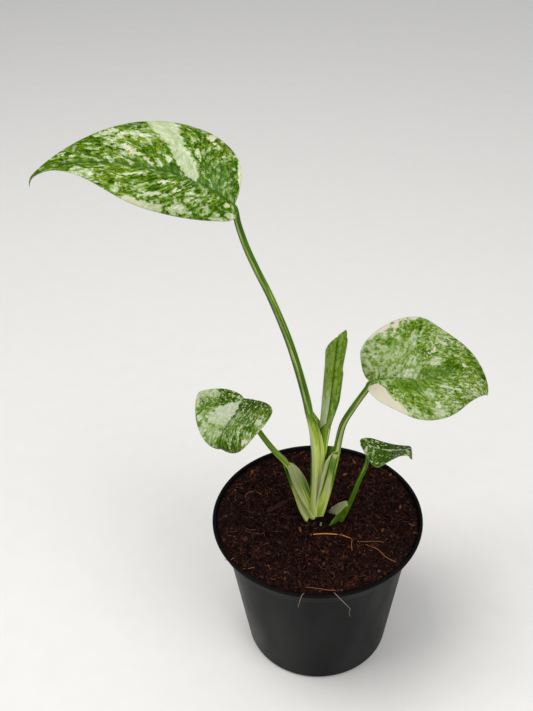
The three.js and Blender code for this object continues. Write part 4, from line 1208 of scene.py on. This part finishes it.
def stalk_fields(name, spread, face, wings, height):
    """Pale, lime and grey shares of a stalk: lime near the soil, pale stripes on the tall stalk's
    column, a cream margin on the right sheath, dull pale faces inside the open sheaths, and painted
    shade that darkens the inside of the left sheath towards its far side and low down."""
    near_soil = 1 - smooth(height, 92, 128)
    margin = smooth(np.abs(spread), 0.7, 0.86) * np.clip(wings, 0, 1)
    inside = face * np.clip(wings * 1.4, 0, 1)
    rod = 1 - np.clip(wings * 2, 0, 1)
    pale = 0.28 + 0.6 * near_soil
    lime = 0.6 * near_soil
    grey = np.zeros_like(height)
    if name == "tall":
        column = 1 - smooth(height, 150, 175)
        off_edge = smooth(np.abs(spread), 0.06, 0.3)
        pale = pale + column * (0.6 * off_edge - 0.2)
        lime = lime + 0.35 * column * off_edge
        stripe = np.exp(-((spread + 0.34) / 0.06) ** 2) * (1 - face) * (1 - rod)
        stripe = stripe * smooth(height, 105, 125) + 0.7 * rod * smooth(-spread, 0.93, 0.98)
        grey = 0.55 * stripe
        pale = pale + 0.2 * stripe
    if name == "right":
        flap = margin * smooth(spread, 0, 0.2)
        band = np.exp(-((spread - 0.37) / 0.05) ** 2) * (1 - face) * (1 - rod)
        band = band + 0.8 * rod * smooth(spread, 0.88, 0.97)
        pale = pale + 0.5 * flap + 0.3 * band - 0.15 * (1 - smooth(height, 100, 118)) * (1 - flap)
        grey = 0.75 * flap * smooth(height, 98, 112) + 0.6 * band * smooth(height, 96, 120)
    if name == "left":
        # painted shade: the inside of the left sheath darker towards its far side and low down, and less
        # grey there
        painted_shade = smooth(spread, -0.3, 0.5) * (1 - smooth(height, 112, 130))
        pale = pale + 0.2 * inside - 0.35 * painted_shade * face
        open_part = smooth(height, 97, 106)
        mottled = 0.7 - 0.15 * patchy(spread * 5, height / 4, 1.0, 12)
        grey = mottled * inside * (1 - 0.85 * painted_shade) * open_part
        lime = lime * (1 - inside * open_part)
        lime = lime + 0.25 * (1 - smooth(height, 98, 108)) + 0.2 * rod * (1 - smooth(height, 134, 160))
        grey = grey + 0.5 * margin * (1 - face) * open_part
    if name == "low":
        pale = 0.15 + inside * (0.6 + 0.4 * (1 - smooth(height, 93, 99)))
        lime = 0.1 * near_soil * (1 - inside)
        grey = inside * (0.6 + 0.2 * smooth(np.abs(spread), 0.5, 0.95))
    if name == "rolled":
        pale = pale + 0.1
        lime = lime + 0.25
    return {"pale": pale, "lime": np.clip(lime, 0, 1), "grey": np.clip(grey, 0, 1)}


def rolled_ring(leaf):
    """Rolled leaf: a column of the sheet stands at an angle round the leaning axis, each a little
    nearer to it than the one before, and ends at the slanting top edge. Both faces and the edges
    are one closed ring of points per row. Gives the ring and each point's place along the sheet."""
    turn = np.linspace(0, 1, ROLL_COLUMNS)[None, :]
    row = np.linspace(0, 1, ROLL_ROWS)[:, None]
    top = np.interp(turn, *np.transpose(ROLL_TOP))
    bottom = np.interp(turn, *np.transpose(ROLL_BOTTOM))
    height = bottom + (top - bottom) * row
    level = np.clip((height - ROLL_AXIS[0][2]) / (ROLL_AXIS[-1][2] - ROLL_AXIS[0][2]), 0, 1)
    centre = path(ROLL_AXIS, level.ravel()).reshape(*level.shape, 3)
    flap = (smooth(turn, 0.5, 0.56) * (1 - smooth(turn, 0.61, 0.66)) * smooth(height, 158, 178)
            * (1 - smooth(height, 195, 197.5)))
    radius = along(ROLL_RADII, level) - ROLL_SHRINK * turn + ROLL_FLAP_RISE * flap
    angle = np.radians(ROLL_START - ROLL_TURN * turn)
    points = np.stack([centre[..., 0] + radius * np.cos(angle), centre[..., 1] + radius * np.sin(angle),
                       height], -1)
    normals = unit(np.cross(np.gradient(points, axis=0), np.gradient(points, axis=1)))
    thick = leaf.thickness / MM / 2 * np.sqrt(np.clip(1 - (2 * turn - 1) ** 20, 0.05, 1))
    ridge = 0.1 * np.clip(np.cos(turn * 2 * np.pi * 9 + row * 3), 0, 1) ** 6
    ends = np.sqrt(np.clip(1 - (2 * row - 1) ** 60, 0, 1))
    outer = points - normals * ((thick + ridge) * ends)[..., None]
    inner = points + normals * ((thick - 0.5 * ridge) * ends)[..., None]
    ring = np.concatenate([outer, inner[:, ::-1]], axis=1)
    return ring, np.concatenate([turn, turn[:, ::-1]], axis=1) + 0 * ring[..., 0]


def rolled_pattern(ring, turns):
    """Fields of the rolled leaf's skin: paler low down by the outer edge, darker at the right side,
    and painted shadow lines, darker, in the groove and in the slit."""
    heights = ring[..., 2]
    around = np.degrees(np.arctan2(ring[..., 1] - ROLL_MIDDLE[1], ring[..., 0] - ROLL_MIDDLE[0]))
    lower = 1 - smooth(heights + 40 * turns, 172, 200)
    # painted shadow: the sheet darker in a thin line in the groove and in the slit by the flap
    groove = np.exp(-((turns - ROLL_GROOVE_SHADOW) / 0.014) ** 2) * smooth(heights, 160, 178)
    slit_shadow = np.exp(-((turns - ROLL_SLIT_SHADOW) / 0.012) ** 2)
    slit_shadow = slit_shadow * smooth(heights, 162, 172) * (1 - smooth(heights, 190, 197))
    pale = 0.51 + 0.19 * lower * (1 - smooth(turns, 0.14, 0.3)) + 0.02 * smooth(turns, 0.08, 0.2)
    pale = pale - 0.1 * smooth(around, -70, -20) - 0.15 * groove - 0.18 * slit_shadow
    cream = 0.3 + 0.2 * smooth(turns, 0.1, 0.24) - 0.1 * lower
    nothing = 0 * pale
    place = np.stack([turns * 3.6, heights * 0.09 + turns, nothing + 60], -1)
    # edge: mint line along the outer edge, partly the pale rim of the tissue and partly painted highlight
    fields = {"pale": pale, "cream": cream, "calm": nothing + 0.82, "edge": 0.5 * (turns < 0.004),
              "vein_place": place, "plan": place}
    fields.update(dict.fromkeys(("grey", "pink", "tipward", "rib", "under", "specks"), nothing))
    return fields


def rolled_piece(leaf, material):
    """Closed scroll of the rolled leaf."""
    ring, turns = rolled_ring(leaf)
    fields = rolled_pattern(ring, turns)
    grid_piece("new_leaf_scroll", ring, material, fields, ("blade_rolled",))


def soil_height(x, y):
    """Height of the soil in metres: highest at the crown, crossing waves that fade at the rim,
    smaller random lumps on them, and a bell-shaped heap."""
    share = np.hypot(x, y) / SOIL_REACH
    a, b = x / MM, y / MM
    waves = (np.sin(0.31 * a + 1.2) * np.sin(0.27 * b + 0.4) + 0.8 * np.sin(0.52 * a - 0.35 * b + 2.1)
             + 0.6 * np.sin(0.2 * a + 0.61 * b))
    lumps = sum(height * patchy(a, b, size, seed) for height, size, seed in SOIL_LUMPS)
    lumps = lumps * (1 - 0.6 * share ** 12)
    heap = SOIL_HEAP_RISE * np.exp(-((a - SOIL_HEAP_PLACE[0]) ** 2 / SOIL_HEAP_SPREAD[0]
                                     + (b - SOIL_HEAP_PLACE[1]) ** 2 / SOIL_HEAP_SPREAD[1]))
    return (SOIL_RIM_HEIGHT + SOIL_CROWN_RISE * (1 - share ** 2)
            + SOIL_RELIEF * waves * (1 - share ** 6) + (lumps + heap) * MM)


def polar_grid(radii, heights, segments):
    """Grid of points: one ring for each radius and height."""
    angle = 2 * np.pi * np.arange(segments) / segments
    radii = np.asarray(radii, float)[:, None]
    heights = np.broadcast_to(np.asarray(heights, float), (radii.size,))[:, None]
    return np.stack([radii * np.cos(angle), radii * np.sin(angle), heights + 0 * angle], -1)


def pot_outside(sizes, height):
    """Radius of the pot's outside: a cone, a short step and a band that flares a little."""
    return np.interp(height, [0, POT_CONE_TOP, POT_BAND_BOTTOM, sizes.height],
                     [sizes.base_radius, POT_CONE_TOP_RADIUS, POT_BAND_RADIUS,
                      POT_BAND_RADIUS + POT_BAND_FLARE])


def pot_inside(sizes, height):
    """Radius of the pot's inside: the wall is even up to the band and thins from there to the lip."""
    wall = np.interp(height, [POT_BAND_BOTTOM, sizes.height], [sizes.wall, sizes.rim_wall])
    return pot_outside(sizes, height) - wall


def rounded(corners, radius):
    """Profile with its inner corners rounded: each is replaced by a quadratic curve between the
    places at the given distance before and after it."""
    made = [np.array(corners[0], float)]
    for before, corner, after in zip(corners, corners[1:], corners[2:]):
        before, corner, after = (np.array(p, float) for p in (before, corner, after))
        reach = min(radius, np.linalg.norm(before - corner) / 2.5, np.linalg.norm(after - corner) / 2.5)
        start = corner + unit(before - corner) * reach
        end = corner + unit(after - corner) * reach
        for u in np.linspace(0, 1, CORNER_STEPS):
            made.append(start * (1 - u) ** 2 + 2 * corner * u * (1 - u) + end * u ** 2)
    return np.array(made + [np.array(corners[-1], float)])


def drilled_floor(outer_radius, height):
    """Disc with round drain holes. Round each hole the points go evenly from the hole's circle to
    the outline of its own sector: outer arc, side, inner arc, side. Gives grids of points whose
    last row is the hole's edge, and the plain disc in the middle."""
    arc = POT_SEGMENTS // DRAIN_COUNT
    half = np.pi / DRAIN_COUNT
    turn = np.linspace(-half, half, arc + 1)
    radii = np.linspace(outer_radius, FLOOR_CENTRE_RADIUS, 9)
    r = np.concatenate([np.full(arc, outer_radius), radii[:-1],
                        np.full(arc, FLOOR_CENTRE_RADIUS), radii[:0:-1]])
    a = np.concatenate([turn[:-1], np.full(8, half), turn[:0:-1], np.full(8, -half)])
    outline = np.stack([r * np.cos(a), r * np.sin(a)], -1)
    away = outline - [DRAIN_RING_RADIUS, 0]
    hole = [DRAIN_RING_RADIUS, 0] + DRAIN_RADIUS * unit(away)
    share = np.linspace(0, 1, 6)[:, None, None]
    sector = outline * (1 - share) + hole * share
    grids = []
    for k in range(DRAIN_COUNT):
        angle = 2 * np.pi * k / DRAIN_COUNT
        turned = sector @ np.array([[np.cos(angle), np.sin(angle)], [-np.sin(angle), np.cos(angle)]])
        grids.append(np.concatenate([turned, np.full((*turned.shape[:2], 1), height)], -1))
    centre = polar_grid(np.linspace(FLOOR_CENTRE_RADIUS, 0, 5), height, POT_SEGMENTS)
    return grids, centre


def join(grids):
    """Points and faces of several wrapped grids as one mesh."""
    points, faces, start = [], [], 0
    for grid in grids:
        points.append(grid.reshape(-1, 3))
        faces.append(cells(*grid.shape[:2], wrap=True) + start)
        start += grid.shape[0] * grid.shape[1]
    return np.concatenate(points), np.concatenate(faces)


def tubes(centres, radii, sides):
    """Closed tubes: round each point of each centre line stands a ring square to the line, and the
    end rings have no width. Centres are lines x points x 3, radii lines x points."""
    ahead = unit(np.gradient(centres, axis=1))
    up = np.array([0.02, 0.03, 1.0])
    across = unit(np.cross(ahead, up))
    rise = np.cross(across, ahead)
    angle = 2 * np.pi * np.arange(sides) / sides
    spoke = (across[:, :, None] * np.cos(angle)[:, None] + rise[:, :, None] * np.sin(angle)[:, None])
    radii = radii.copy()
    radii[:, 0] = radii[:, -1] = 0
    return centres[:, :, None] + spoke * radii[:, :, None, None]


def tube_mesh(centres, radii, sides):
    """Points and faces of many tubes. The rings without width make a cone of each end."""
    rings = tubes(centres, radii, sides)
    lines, steps = rings.shape[:2]
    faces = cells(steps, sides, wrap=True)
    starts = (np.arange(lines) * steps * sides)[:, None, None]
    return rings.reshape(-1, 3), (faces[None] + starts).reshape(-1, 4)


def random_turnings(count, rng):
    """Random turning matrices from random unit quaternions."""
    w, x, y, z = unit(rng.normal(size=(count, 4))).T
    return np.stack([
        1 - 2 * (y * y + z * z), 2 * (x * y - z * w), 2 * (x * z + y * w),
        2 * (x * y + z * w), 1 - 2 * (x * x + z * z), 2 * (y * z - x * w),
        2 * (x * z - y * w), 2 * (y * z + x * w), 1 - 2 * (x * x + y * y)], -1).reshape(count, 3, 3)


def solid_twenty():
    """Corners and faces of the regular solid with twenty faces."""
    shell = bmesh.new()
    bmesh.ops.create_icosphere(shell, subdivisions=1, radius=1)
    corners = np.array([vertex.co for vertex in shell.verts])
    faces = np.array([[vertex.index for vertex in face.verts] for face in shell.faces])
    shell.free()
    return corners, faces


def scattered(places, sizes, stretch, rng, tone):
    """Lumps: the twenty-faced solid with each corner pushed in or out at random, stretched, turned
    at random and moved to its place."""
    corners, faces = solid_twenty()
    count = len(places)
    lumps = corners[None] * rng.uniform(0.62, 1.25, (count, len(corners), 1)) * stretch[:, None]
    lumps = np.einsum("nij,nkj->nki", random_turnings(count, rng), lumps) * sizes[:, None, None]
    points = (lumps + places[:, None]).reshape(-1, 3)
    starts = (np.arange(count) * len(corners))[:, None, None]
    return points, (faces[None] + starts).reshape(-1, 3), np.repeat(tone, len(corners))


def in_disc(count, reach, rng):
    """Even random places in a disc."""
    radius = reach * np.sqrt(rng.uniform(0, 1, count))
    angle = rng.uniform(0, 2 * np.pi, count)
    return radius * np.cos(angle), radius * np.sin(angle)


def laid_path(points, steps, lift):
    """Smooth line over the soil through places in millimetres: it follows a cubic curve fitted to
    the ground under it, raised over the bumps and lifted in the middle."""
    t = np.linspace(0, 1, steps)
    line = path(np.array([(*p[:2], 0) for p in points], float) * MM, t)
    ground = soil_height(line[:, 0], line[:, 1])
    fitted = np.polyval(np.polyfit(t, ground, 3), t)
    line[:, 2] = fitted + 0.6 * (ground - fitted).max() + lift * np.sin(np.pi * t) ** 0.7 + 0.15 * MM
    return line


class POTTED_OT_pot(bpy.types.Operator):
    """Turn the pot's wall, drill its drain holes and give it its plastic"""

    bl_idname = "potted_aroid.pot"
    bl_label = "Pot"

    def execute(self, context):
        sizes = context.scene.aroid_pot

        def inner(height):
            """Corner on the inside of the wall."""
            return pot_inside(sizes, height), height

        def outer(height):
            """Corner on the outside of the wall."""
            return pot_outside(sizes, height), height

        lip_bottom = sizes.height - POT_LIP_HEIGHT
        foot = sizes.base_radius - POT_FOOT_CHAMFER
        corners = [
            (foot, 0), outer(POT_FOOT_CHAMFER), outer(POT_CONE_TOP), outer(POT_BAND_BOTTOM),
            outer(lip_bottom), (sizes.lip_radius, lip_bottom), (sizes.lip_radius, sizes.height),
            inner(sizes.height), inner(POT_BAND_BOTTOM), inner(POT_CONE_TOP), inner(POT_FLOOR),
        ]
        profile = rounded(corners, POT_ROUNDING)
        wall = polar_grid(profile[:, 0], profile[:, 1], POT_SEGMENTS)
        below, below_middle = drilled_floor(foot, 0)
        above, above_middle = drilled_floor(inner(POT_FLOOR)[0], POT_FLOOR)
        holes = [np.stack([low[-1], high[-1]]) for low, high in zip(below, above)]
        points, faces = join([wall, below_middle, above_middle, *below, *above, *holes])
        piece("nursery_pot", points, faces, pot_plastic(sizes), ("pot",))
        return {"FINISHED"}


class POTTED_OT_soil(bpy.types.Operator):
    """Fill the pot with potting mix: a lumpy top, and the pot's inside at a clearance"""

    bl_idname = "potted_aroid.soil"
    bl_label = "Potting mix"

    def execute(self, context):
        sizes = context.scene.aroid_pot
        top = polar_grid(np.linspace(0, SOIL_REACH, SOIL_RINGS), 0, SOIL_SEGMENTS)
        top[..., 2] = soil_height(top[..., 0], top[..., 1])
        bottom = POT_FLOOR + SOIL_CLEARANCE
        heights = np.array([POT_BAND_BOTTOM, POT_CONE_TOP, bottom])
        radii = pot_inside(sizes, heights) - SOIL_CLEARANCE
        side = polar_grid([*radii, 0], [*heights, bottom], SOIL_SEGMENTS)
        grid = np.concatenate([top, side])
        piece("soil_mix", grid.reshape(-1, 3), cells(*grid.shape[:2], wrap=True),
              potting_mix(context.scene.aroid_soil), ("soil",))
        return {"FINISHED"}


class POTTED_OT_litter(bpy.types.Operator):
    """Scatter crumbs and coir strands over the soil"""

    bl_idname = "potted_aroid.litter"
    bl_label = "Crumbs and strands"

    def execute(self, context):
        rng = np.random.default_rng(SEED)
        self.crumbs(context.scene.aroid_soil, rng)
        self.strands(context.scene.aroid_soil, rng)
        return {"FINISHED"}

    def crumbs(self, look, rng):
        """Lumps of many sizes all over the soil, with some of them heaped at the stalks' feet."""
        x, y = in_disc(look.crumbs, SOIL_REACH - 1.0 * MM, rng)
        size = (0.22 + rng.gamma(1.7, 0.26, look.crumbs)).clip(0.22, 1.7) * MM
        heaped = look.crumbs // 16
        foot = np.array(FEET)[rng.integers(0, len(FEET), heaped)]
        x[:heaped] = rng.normal(foot[:, 0], foot[:, 2]) * MM
        y[:heaped] = rng.normal(foot[:, 1], foot[:, 3]) * MM
        size[:heaped] = rng.uniform(0.45, 1.05, heaped) * MM
        places = np.stack([x, y, soil_height(x, y) + 0.2 * size], -1)
        places[:heaped, 2] += rng.uniform(0, 1.1, heaped) * MM
        stretch = rng.uniform(0.4, 1.2, (look.crumbs, 3)) * [1.35, 0.7, 0.6]
        tone = rng.beta(1.5, 3.4, look.crumbs)
        tone[:heaped] *= 0.4
        points, faces, tone = scattered(places, size, stretch, rng, tone)
        piece("soil_crumbs", points, faces, loose_bits("soil_crumbs", (
            (0.0, look.dark), (0.35, look.brown), (0.75, look.rust), (1.0, look.tan))),
            fields={"tone": tone}, soft=False, weld=False)

    def strands(self, look, rng):
        """Short thin tubes that start anywhere on the soil in any direction and bend evenly."""
        steps = 6
        x, y = in_disc(look.strands, SOIL_REACH - 2 * MM, rng)
        heading = rng.uniform(0, 2 * np.pi, look.strands)
        size = rng.gamma(1.8, 1.7, look.strands) * MM + 1.2 * MM
        curl = rng.normal(0, 0.8, look.strands)
        u = np.linspace(-0.5, 0.5, steps)[None, :]
        angle = heading[:, None] + curl[:, None] * u
        x = x[:, None] + np.cumsum(np.cos(angle), axis=1) * (size / steps)[:, None]
        y = y[:, None] + np.cumsum(np.sin(angle), axis=1) * (size / steps)[:, None]
        inside = np.hypot(x, y).max(axis=1) < SOIL_REACH - 0.5 * MM
        x, y, count = x[inside], y[inside], int(inside.sum())
        lift = rng.uniform(-0.1, 0.8, (count, 1)) * MM
        tilt = rng.normal(0, 0.5, (count, 1)) * MM
        z = soil_height(x, y) + lift + tilt * u + 0.15 * MM
        radii = rng.uniform(0.05, 0.16, (count, 1)) * MM * np.sqrt(np.clip(1 - (1.8 * u) ** 4, 0.1, 1))
        points, faces = tube_mesh(np.stack([x, y, z], -1), radii, 3)
        tone = np.repeat(rng.beta(1.5, 2.6, count), steps * 3)
        piece("coir_strands", points, faces, loose_bits("coir_strands", (
            (0.0, look.brown), (0.5, look.rust), (1.0, look.tan))),
            fields={"tone": tone})


class POTTED_OT_loose_things(bpy.types.Operator):
    """Lay the bright fibre, long fibres, a wood chip, bark bits, a sprout and root hairs"""

    bl_idname = "potted_aroid.loose_things"
    bl_label = "Loose things"

    def execute(self, context):
        look = context.scene.aroid_soil
        rng = np.random.default_rng(SEED + 1)
        self.bright_fibre(look)
        self.dry_fibres(look, rng)
        self.bark_bits(look, rng)
        self.wood_chip(look)
        self.sprout(context)
        return {"FINISHED"}

    def bright_fibre(self, look):
        """Stout orange tube along the soil, thickest near its start, and its thin tail."""
        line = laid_path(ORANGE_FIBRE, FIBRE_STEPS, 0.6 * MM)
        tail = laid_path(ORANGE_FIBRE_TAIL, FIBRE_STEPS, 0.3 * MM)
        radii = 0.32 * MM * (1 - 0.5 * np.linspace(-0.3, 1, FIBRE_STEPS) ** 2)
        tail_radii = np.full(FIBRE_STEPS, 0.16 * MM)
        points, faces = tube_mesh(np.stack([line, tail]), np.stack([radii, tail_radii]), 8)
        piece("orange_fibre", points, faces, loose_bits("bright_fibre", (
            (0.0, look.rust), (0.5, look.orange), (1.0, look.tan))),
            fields={"tone": np.repeat([0.55, 0.25], FIBRE_STEPS * 8)})

    def dry_fibres(self, look, rng):
        """Thin tubes: fibres that lie on the soil, and root hairs that hang over the rim and taper."""
        lines = [laid_path(points, FIBRE_STEPS, 0.5 * MM) for points in LONG_FIBRES]
        lines += [path(np.array(points, float) * MM, np.linspace(0, 1, FIBRE_STEPS))
                  for points in ROOT_HAIRS]
        widths = np.full((len(lines), FIBRE_STEPS), 0.17 * MM)
        widths[-len(ROOT_HAIRS):] = 0.19 * MM * np.linspace(1, 0.5, FIBRE_STEPS)
        points, faces = tube_mesh(np.stack(lines), widths, 6)
        tone = rng.uniform(0.2, 0.8, len(lines))
        tone[-len(ROOT_HAIRS):] = 1.1
        piece("long_fibres", points, faces, loose_bits("dry_fibre", (
            (0.0, look.rust), (0.6, look.tan), (0.85, look.tan), (1.0, look.hair))),
            fields={"tone": np.repeat(tone, FIBRE_STEPS * 6)})

    def bark_bits(self, look, rng):
        """Flat lumps, larger than the crumbs."""
        x, y, size = np.transpose(BARK_BITS) * MM
        count = len(BARK_BITS)
        places = np.stack([x, y, soil_height(x, y) + 0.35 * size], -1)
        stretch = np.stack([np.full(count, 0.75), rng.uniform(0.35, 0.5, count),
                            rng.uniform(0.18, 0.3, count)], -1)
        points, faces, tone = scattered(places, size, stretch, rng, rng.uniform(0.6, 1.0, count))
        piece("bark_bits", points, faces, loose_bits("bark_bits", (
            (0.0, look.brown), (0.6, look.rust), (1.0, look.tan))),
            fields={"tone": tone}, soft=False, weld=False)

    def wood_chip(self, look):
        """Flat splinter: a rounded box section carried along a short bent line, split at its end."""
        rows, columns = 40, 24
        t = np.linspace(-1, 1, rows)[:, None]
        a = np.linspace(0, 2 * np.pi, columns, endpoint=False)[None, :]
        half_length, half_width, half_height = WOOD_CHIP_HALF
        wide = half_width * (1 - 0.45 * t ** 4 + 0.12 * np.sin(5 * t))
        x = half_length * t + 0.9 * np.cos(3 * a) * t ** 3
        y = wide * np.sign(np.cos(a)) * np.abs(np.cos(a)) ** 0.5
        z = half_height * np.sign(np.sin(a)) * np.abs(np.sin(a)) ** 0.6 + 0.12 * np.sin(9 * y)
        y, z = y * np.sqrt(1 - 0.999 * t ** 20), z * np.sqrt(1 - 0.999 * t ** 20)
        along_x = WOOD_CHIP[0] + x * np.cos(WOOD_CHIP_TURN) - y * np.sin(WOOD_CHIP_TURN)
        along_y = WOOD_CHIP[1] + x * np.sin(WOOD_CHIP_TURN) + y * np.cos(WOOD_CHIP_TURN)
        base = soil_height(WOOD_CHIP[0] * MM, WOOD_CHIP[1] * MM) / MM + 0.7
        points = np.stack([along_x, along_y, base + z + 0.3 * t], -1)
        points[0], points[-1] = points[0].mean(axis=0), points[-1].mean(axis=0)
        finish = loose_bits("wood_chip", ((0.0, look.dark), (0.5, look.brown), (1.0, look.rust)))
        tone = np.full(points.shape[:2], 0.62) + 0.2 * np.sin(6 * y)
        grid_piece("wood_chip", points, finish, {"tone": tone})

    def sprout(self, context):
        """Tiny shoot: a pointed rod, a little flattened and bent."""
        rows, columns = 24, 14
        t = np.linspace(0, 1, rows)[:, None]
        a = np.linspace(0, 2 * np.pi, columns, endpoint=False)[None, :]
        radius = SPROUT_RADIUS * np.sqrt(np.clip(1 - t ** 2.5, 0, 1)) + 0 * a
        x = SPROUT[0] + 0.5 * t ** 2 + radius * np.cos(a)
        y = SPROUT[1] - 0.4 * t + 0.7 * radius * np.sin(a)
        base = soil_height(SPROUT[0] * MM, SPROUT[1] * MM) / MM - 0.5
        points = np.stack([x, y, base + SPROUT_HEIGHT * t + 0 * a], -1)
        points[0] = points[0].mean(axis=0)
        ones = np.ones((rows, columns))
        fields = {"pale": 0.3 * ones, "lime": 0.35 * ones, "grey": 0.45 * ones,
                  "stalk_place": points}
        grid_piece("sprout", points, skin_of_stalks(context), fields)


def skin_of_stalks(context):
    """The stalks' material, made once."""
    return bpy.data.materials.get("stalk_skin") or stalk_skin(context.scene.aroid_stalks)


def skin_of_blades(context):
    """The leaves' material, made once."""
    return bpy.data.materials.get("blade_skin") or blade_skin(context.scene.aroid_leaves)


class POTTED_OT_rootstock(bpy.types.Operator):
    """Give the rootstock in the soil its root skin"""

    bl_idname = "potted_aroid.rootstock"
    bl_label = "Rootstock"

    def execute(self, context):
        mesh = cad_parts["rootstock"].data
        mesh.materials.clear()
        mesh.materials.append(root_skin(context.scene.aroid_soil))
        return {"FINISHED"}


class POTTED_OT_stalks(bpy.types.Operator):
    """Sweep the leaf stalks with their sheaths"""

    bl_idname = "potted_aroid.stalks"
    bl_label = "Leaf stalks"

    def execute(self, context):
        material = skin_of_stalks(context)
        for name, stalk in STALKS.items():
            stalk_piece(name, stalk, context.scene.aroid_stalks, material)
        return {"FINISHED"}


class POTTED_OT_blades(bpy.types.Operator):
    """Spread the four open leaf blades"""

    bl_idname = "potted_aroid.blades"
    bl_label = "Leaf blades"

    def execute(self, context):
        look = context.scene.aroid_leaves
        material = skin_of_blades(context)
        for name, blade in BLADES.items():
            blade_piece(name, blade, look, material)
        return {"FINISHED"}


class POTTED_OT_rolled_leaf(bpy.types.Operator):
    """Roll the new leaf"""

    bl_idname = "potted_aroid.rolled_leaf"
    bl_label = "Rolled leaf"

    def execute(self, context):
        rolled_piece(context.scene.aroid_leaves, skin_of_blades(context))
        return {"FINISHED"}


class POTTED_OT_stage(bpy.types.Operator):
    """Lay the pale floor that rises in a cove all round, and set the lights and the camera"""

    bl_idname = "potted_aroid.stage"
    bl_label = "Floor, lights and camera"

    def execute(self, context):
        look = context.scene.aroid_stage
        context.scene.view_settings.view_transform = "Standard"
        self.floor(look)
        self.light("key_light", *KEY_LIGHT, look.key)
        self.light("fill_light", *FILL_LIGHT, look.fill)
        world = bpy.data.worlds.new("even_sky")
        context.scene.world = world
        world.use_nodes = True
        background = world.node_tree.nodes["Background"]
        background.inputs["Color"].default_value = SKY_COLOUR
        background.inputs["Strength"].default_value = look.sky
        self.camera(context)
        return {"FINISHED"}

    def floor(self, look):
        """Round floor: flat to a radius, then rising as a quarter circle."""
        turn = np.linspace(0, np.pi / 2, 16)
        radii = np.concatenate([[0, 0.5, 1.2], FLOOR_FLAT + FLOOR_COVE * np.sin(turn)])
        heights = np.concatenate([[0, 0, 0], FLOOR_COVE * (1 - np.cos(turn))])
        grid = polar_grid(radii, heights, 96)
        finish = Finish("pale_floor")
        speckle = finish.noise(finish.place(), 60, 4)
        tint = finish.mix(finish.between(speckle, 0.2, 0.8, 0, 0.06), look.floor, (0.5, 0.49, 0.47))
        roughness = finish.between(speckle, 0.2, 0.8, 0.55, 0.7)
        material = finish.surface(Base_Color=tint, Roughness=roughness)
        mesh = bare_mesh("floor", grid.reshape(-1, 3), cells(*grid.shape[:2], wrap=True))
        made = shown("floor", mesh, material)

    def light(self, name, place, size, power):
        """Soft square light that faces the middle of the plant."""
        lamp = bpy.data.lights.new(name, "AREA")
        lamp.size = size
        lamp.energy = power
        made = linked(name, lamp)
        made.location = place
        made.rotation_euler = (Vector(place) - Vector(LIGHT_AIM)).to_track_quat("Z", "Y").to_euler()

    def camera(self, context):
        """Camera at the photo's place and angle, turned about Z, then tipped down, then rolled."""
        lens = bpy.data.cameras.new("camera")
        lens.lens = CAMERA_LENS
        lens.sensor_width = CAMERA_SENSOR
        lens.dof.use_dof = False
        made = linked("camera", lens)
        made.matrix_world = (Matrix.Translation(CAMERA_PLACE)
                             @ Matrix.Rotation(radians(-CAMERA_YAW), 4, "Z")
                             @ Matrix.Rotation(radians(90 - CAMERA_PITCH), 4, "X")
                             @ Matrix.Rotation(radians(CAMERA_ROLL), 4, "Z"))
        context.scene.camera = made


GROUPS = {"aroid_pot": PotSizes, "aroid_soil": SoilLook, "aroid_leaves": LeafLook,
          "aroid_stalks": StalkLook, "aroid_stage": StageLook}
STEPS = (POTTED_OT_pot, POTTED_OT_soil, POTTED_OT_litter, POTTED_OT_loose_things, POTTED_OT_rootstock,
         POTTED_OT_stalks, POTTED_OT_blades, POTTED_OT_rolled_leaf, POTTED_OT_stage)


class POTTED_PT_panel(bpy.types.Panel):
    """Sidebar panel with one button for each step"""

    bl_idname = "POTTED_PT_panel"
    bl_label = "Potted aroid"
    bl_space_type = "VIEW_3D"
    bl_region_type = "UI"
    bl_category = "Aroid"

    def draw(self, context):
        for step in STEPS:
            self.layout.operator(step.bl_idname)
        for name in GROUPS:
            box = self.layout.box()
            for key in getattr(context.scene, name).__annotations__:
                box.prop(getattr(context.scene, name), key)


def register():
    """Adds the settings, the steps and the panel to Blender."""
    for group in (*GROUPS.values(), *STEPS, POTTED_PT_panel):
        bpy.utils.register_class(group)
    for name, group in GROUPS.items():
        setattr(bpy.types.Scene, name, bpy.props.PointerProperty(type=group))


def unregister():
    """Takes them away again."""
    for name in GROUPS:
        delattr(bpy.types.Scene, name)
    for group in reversed((*GROUPS.values(), *STEPS, POTTED_PT_panel)):
        bpy.utils.unregister_class(group)


def main():
    """Builds everything step by step."""
    register()
    for step in STEPS:
        group, name = step.bl_idname.split(".")
        getattr(getattr(bpy.ops, group), name)()


if __name__ == "__main__":
    main()
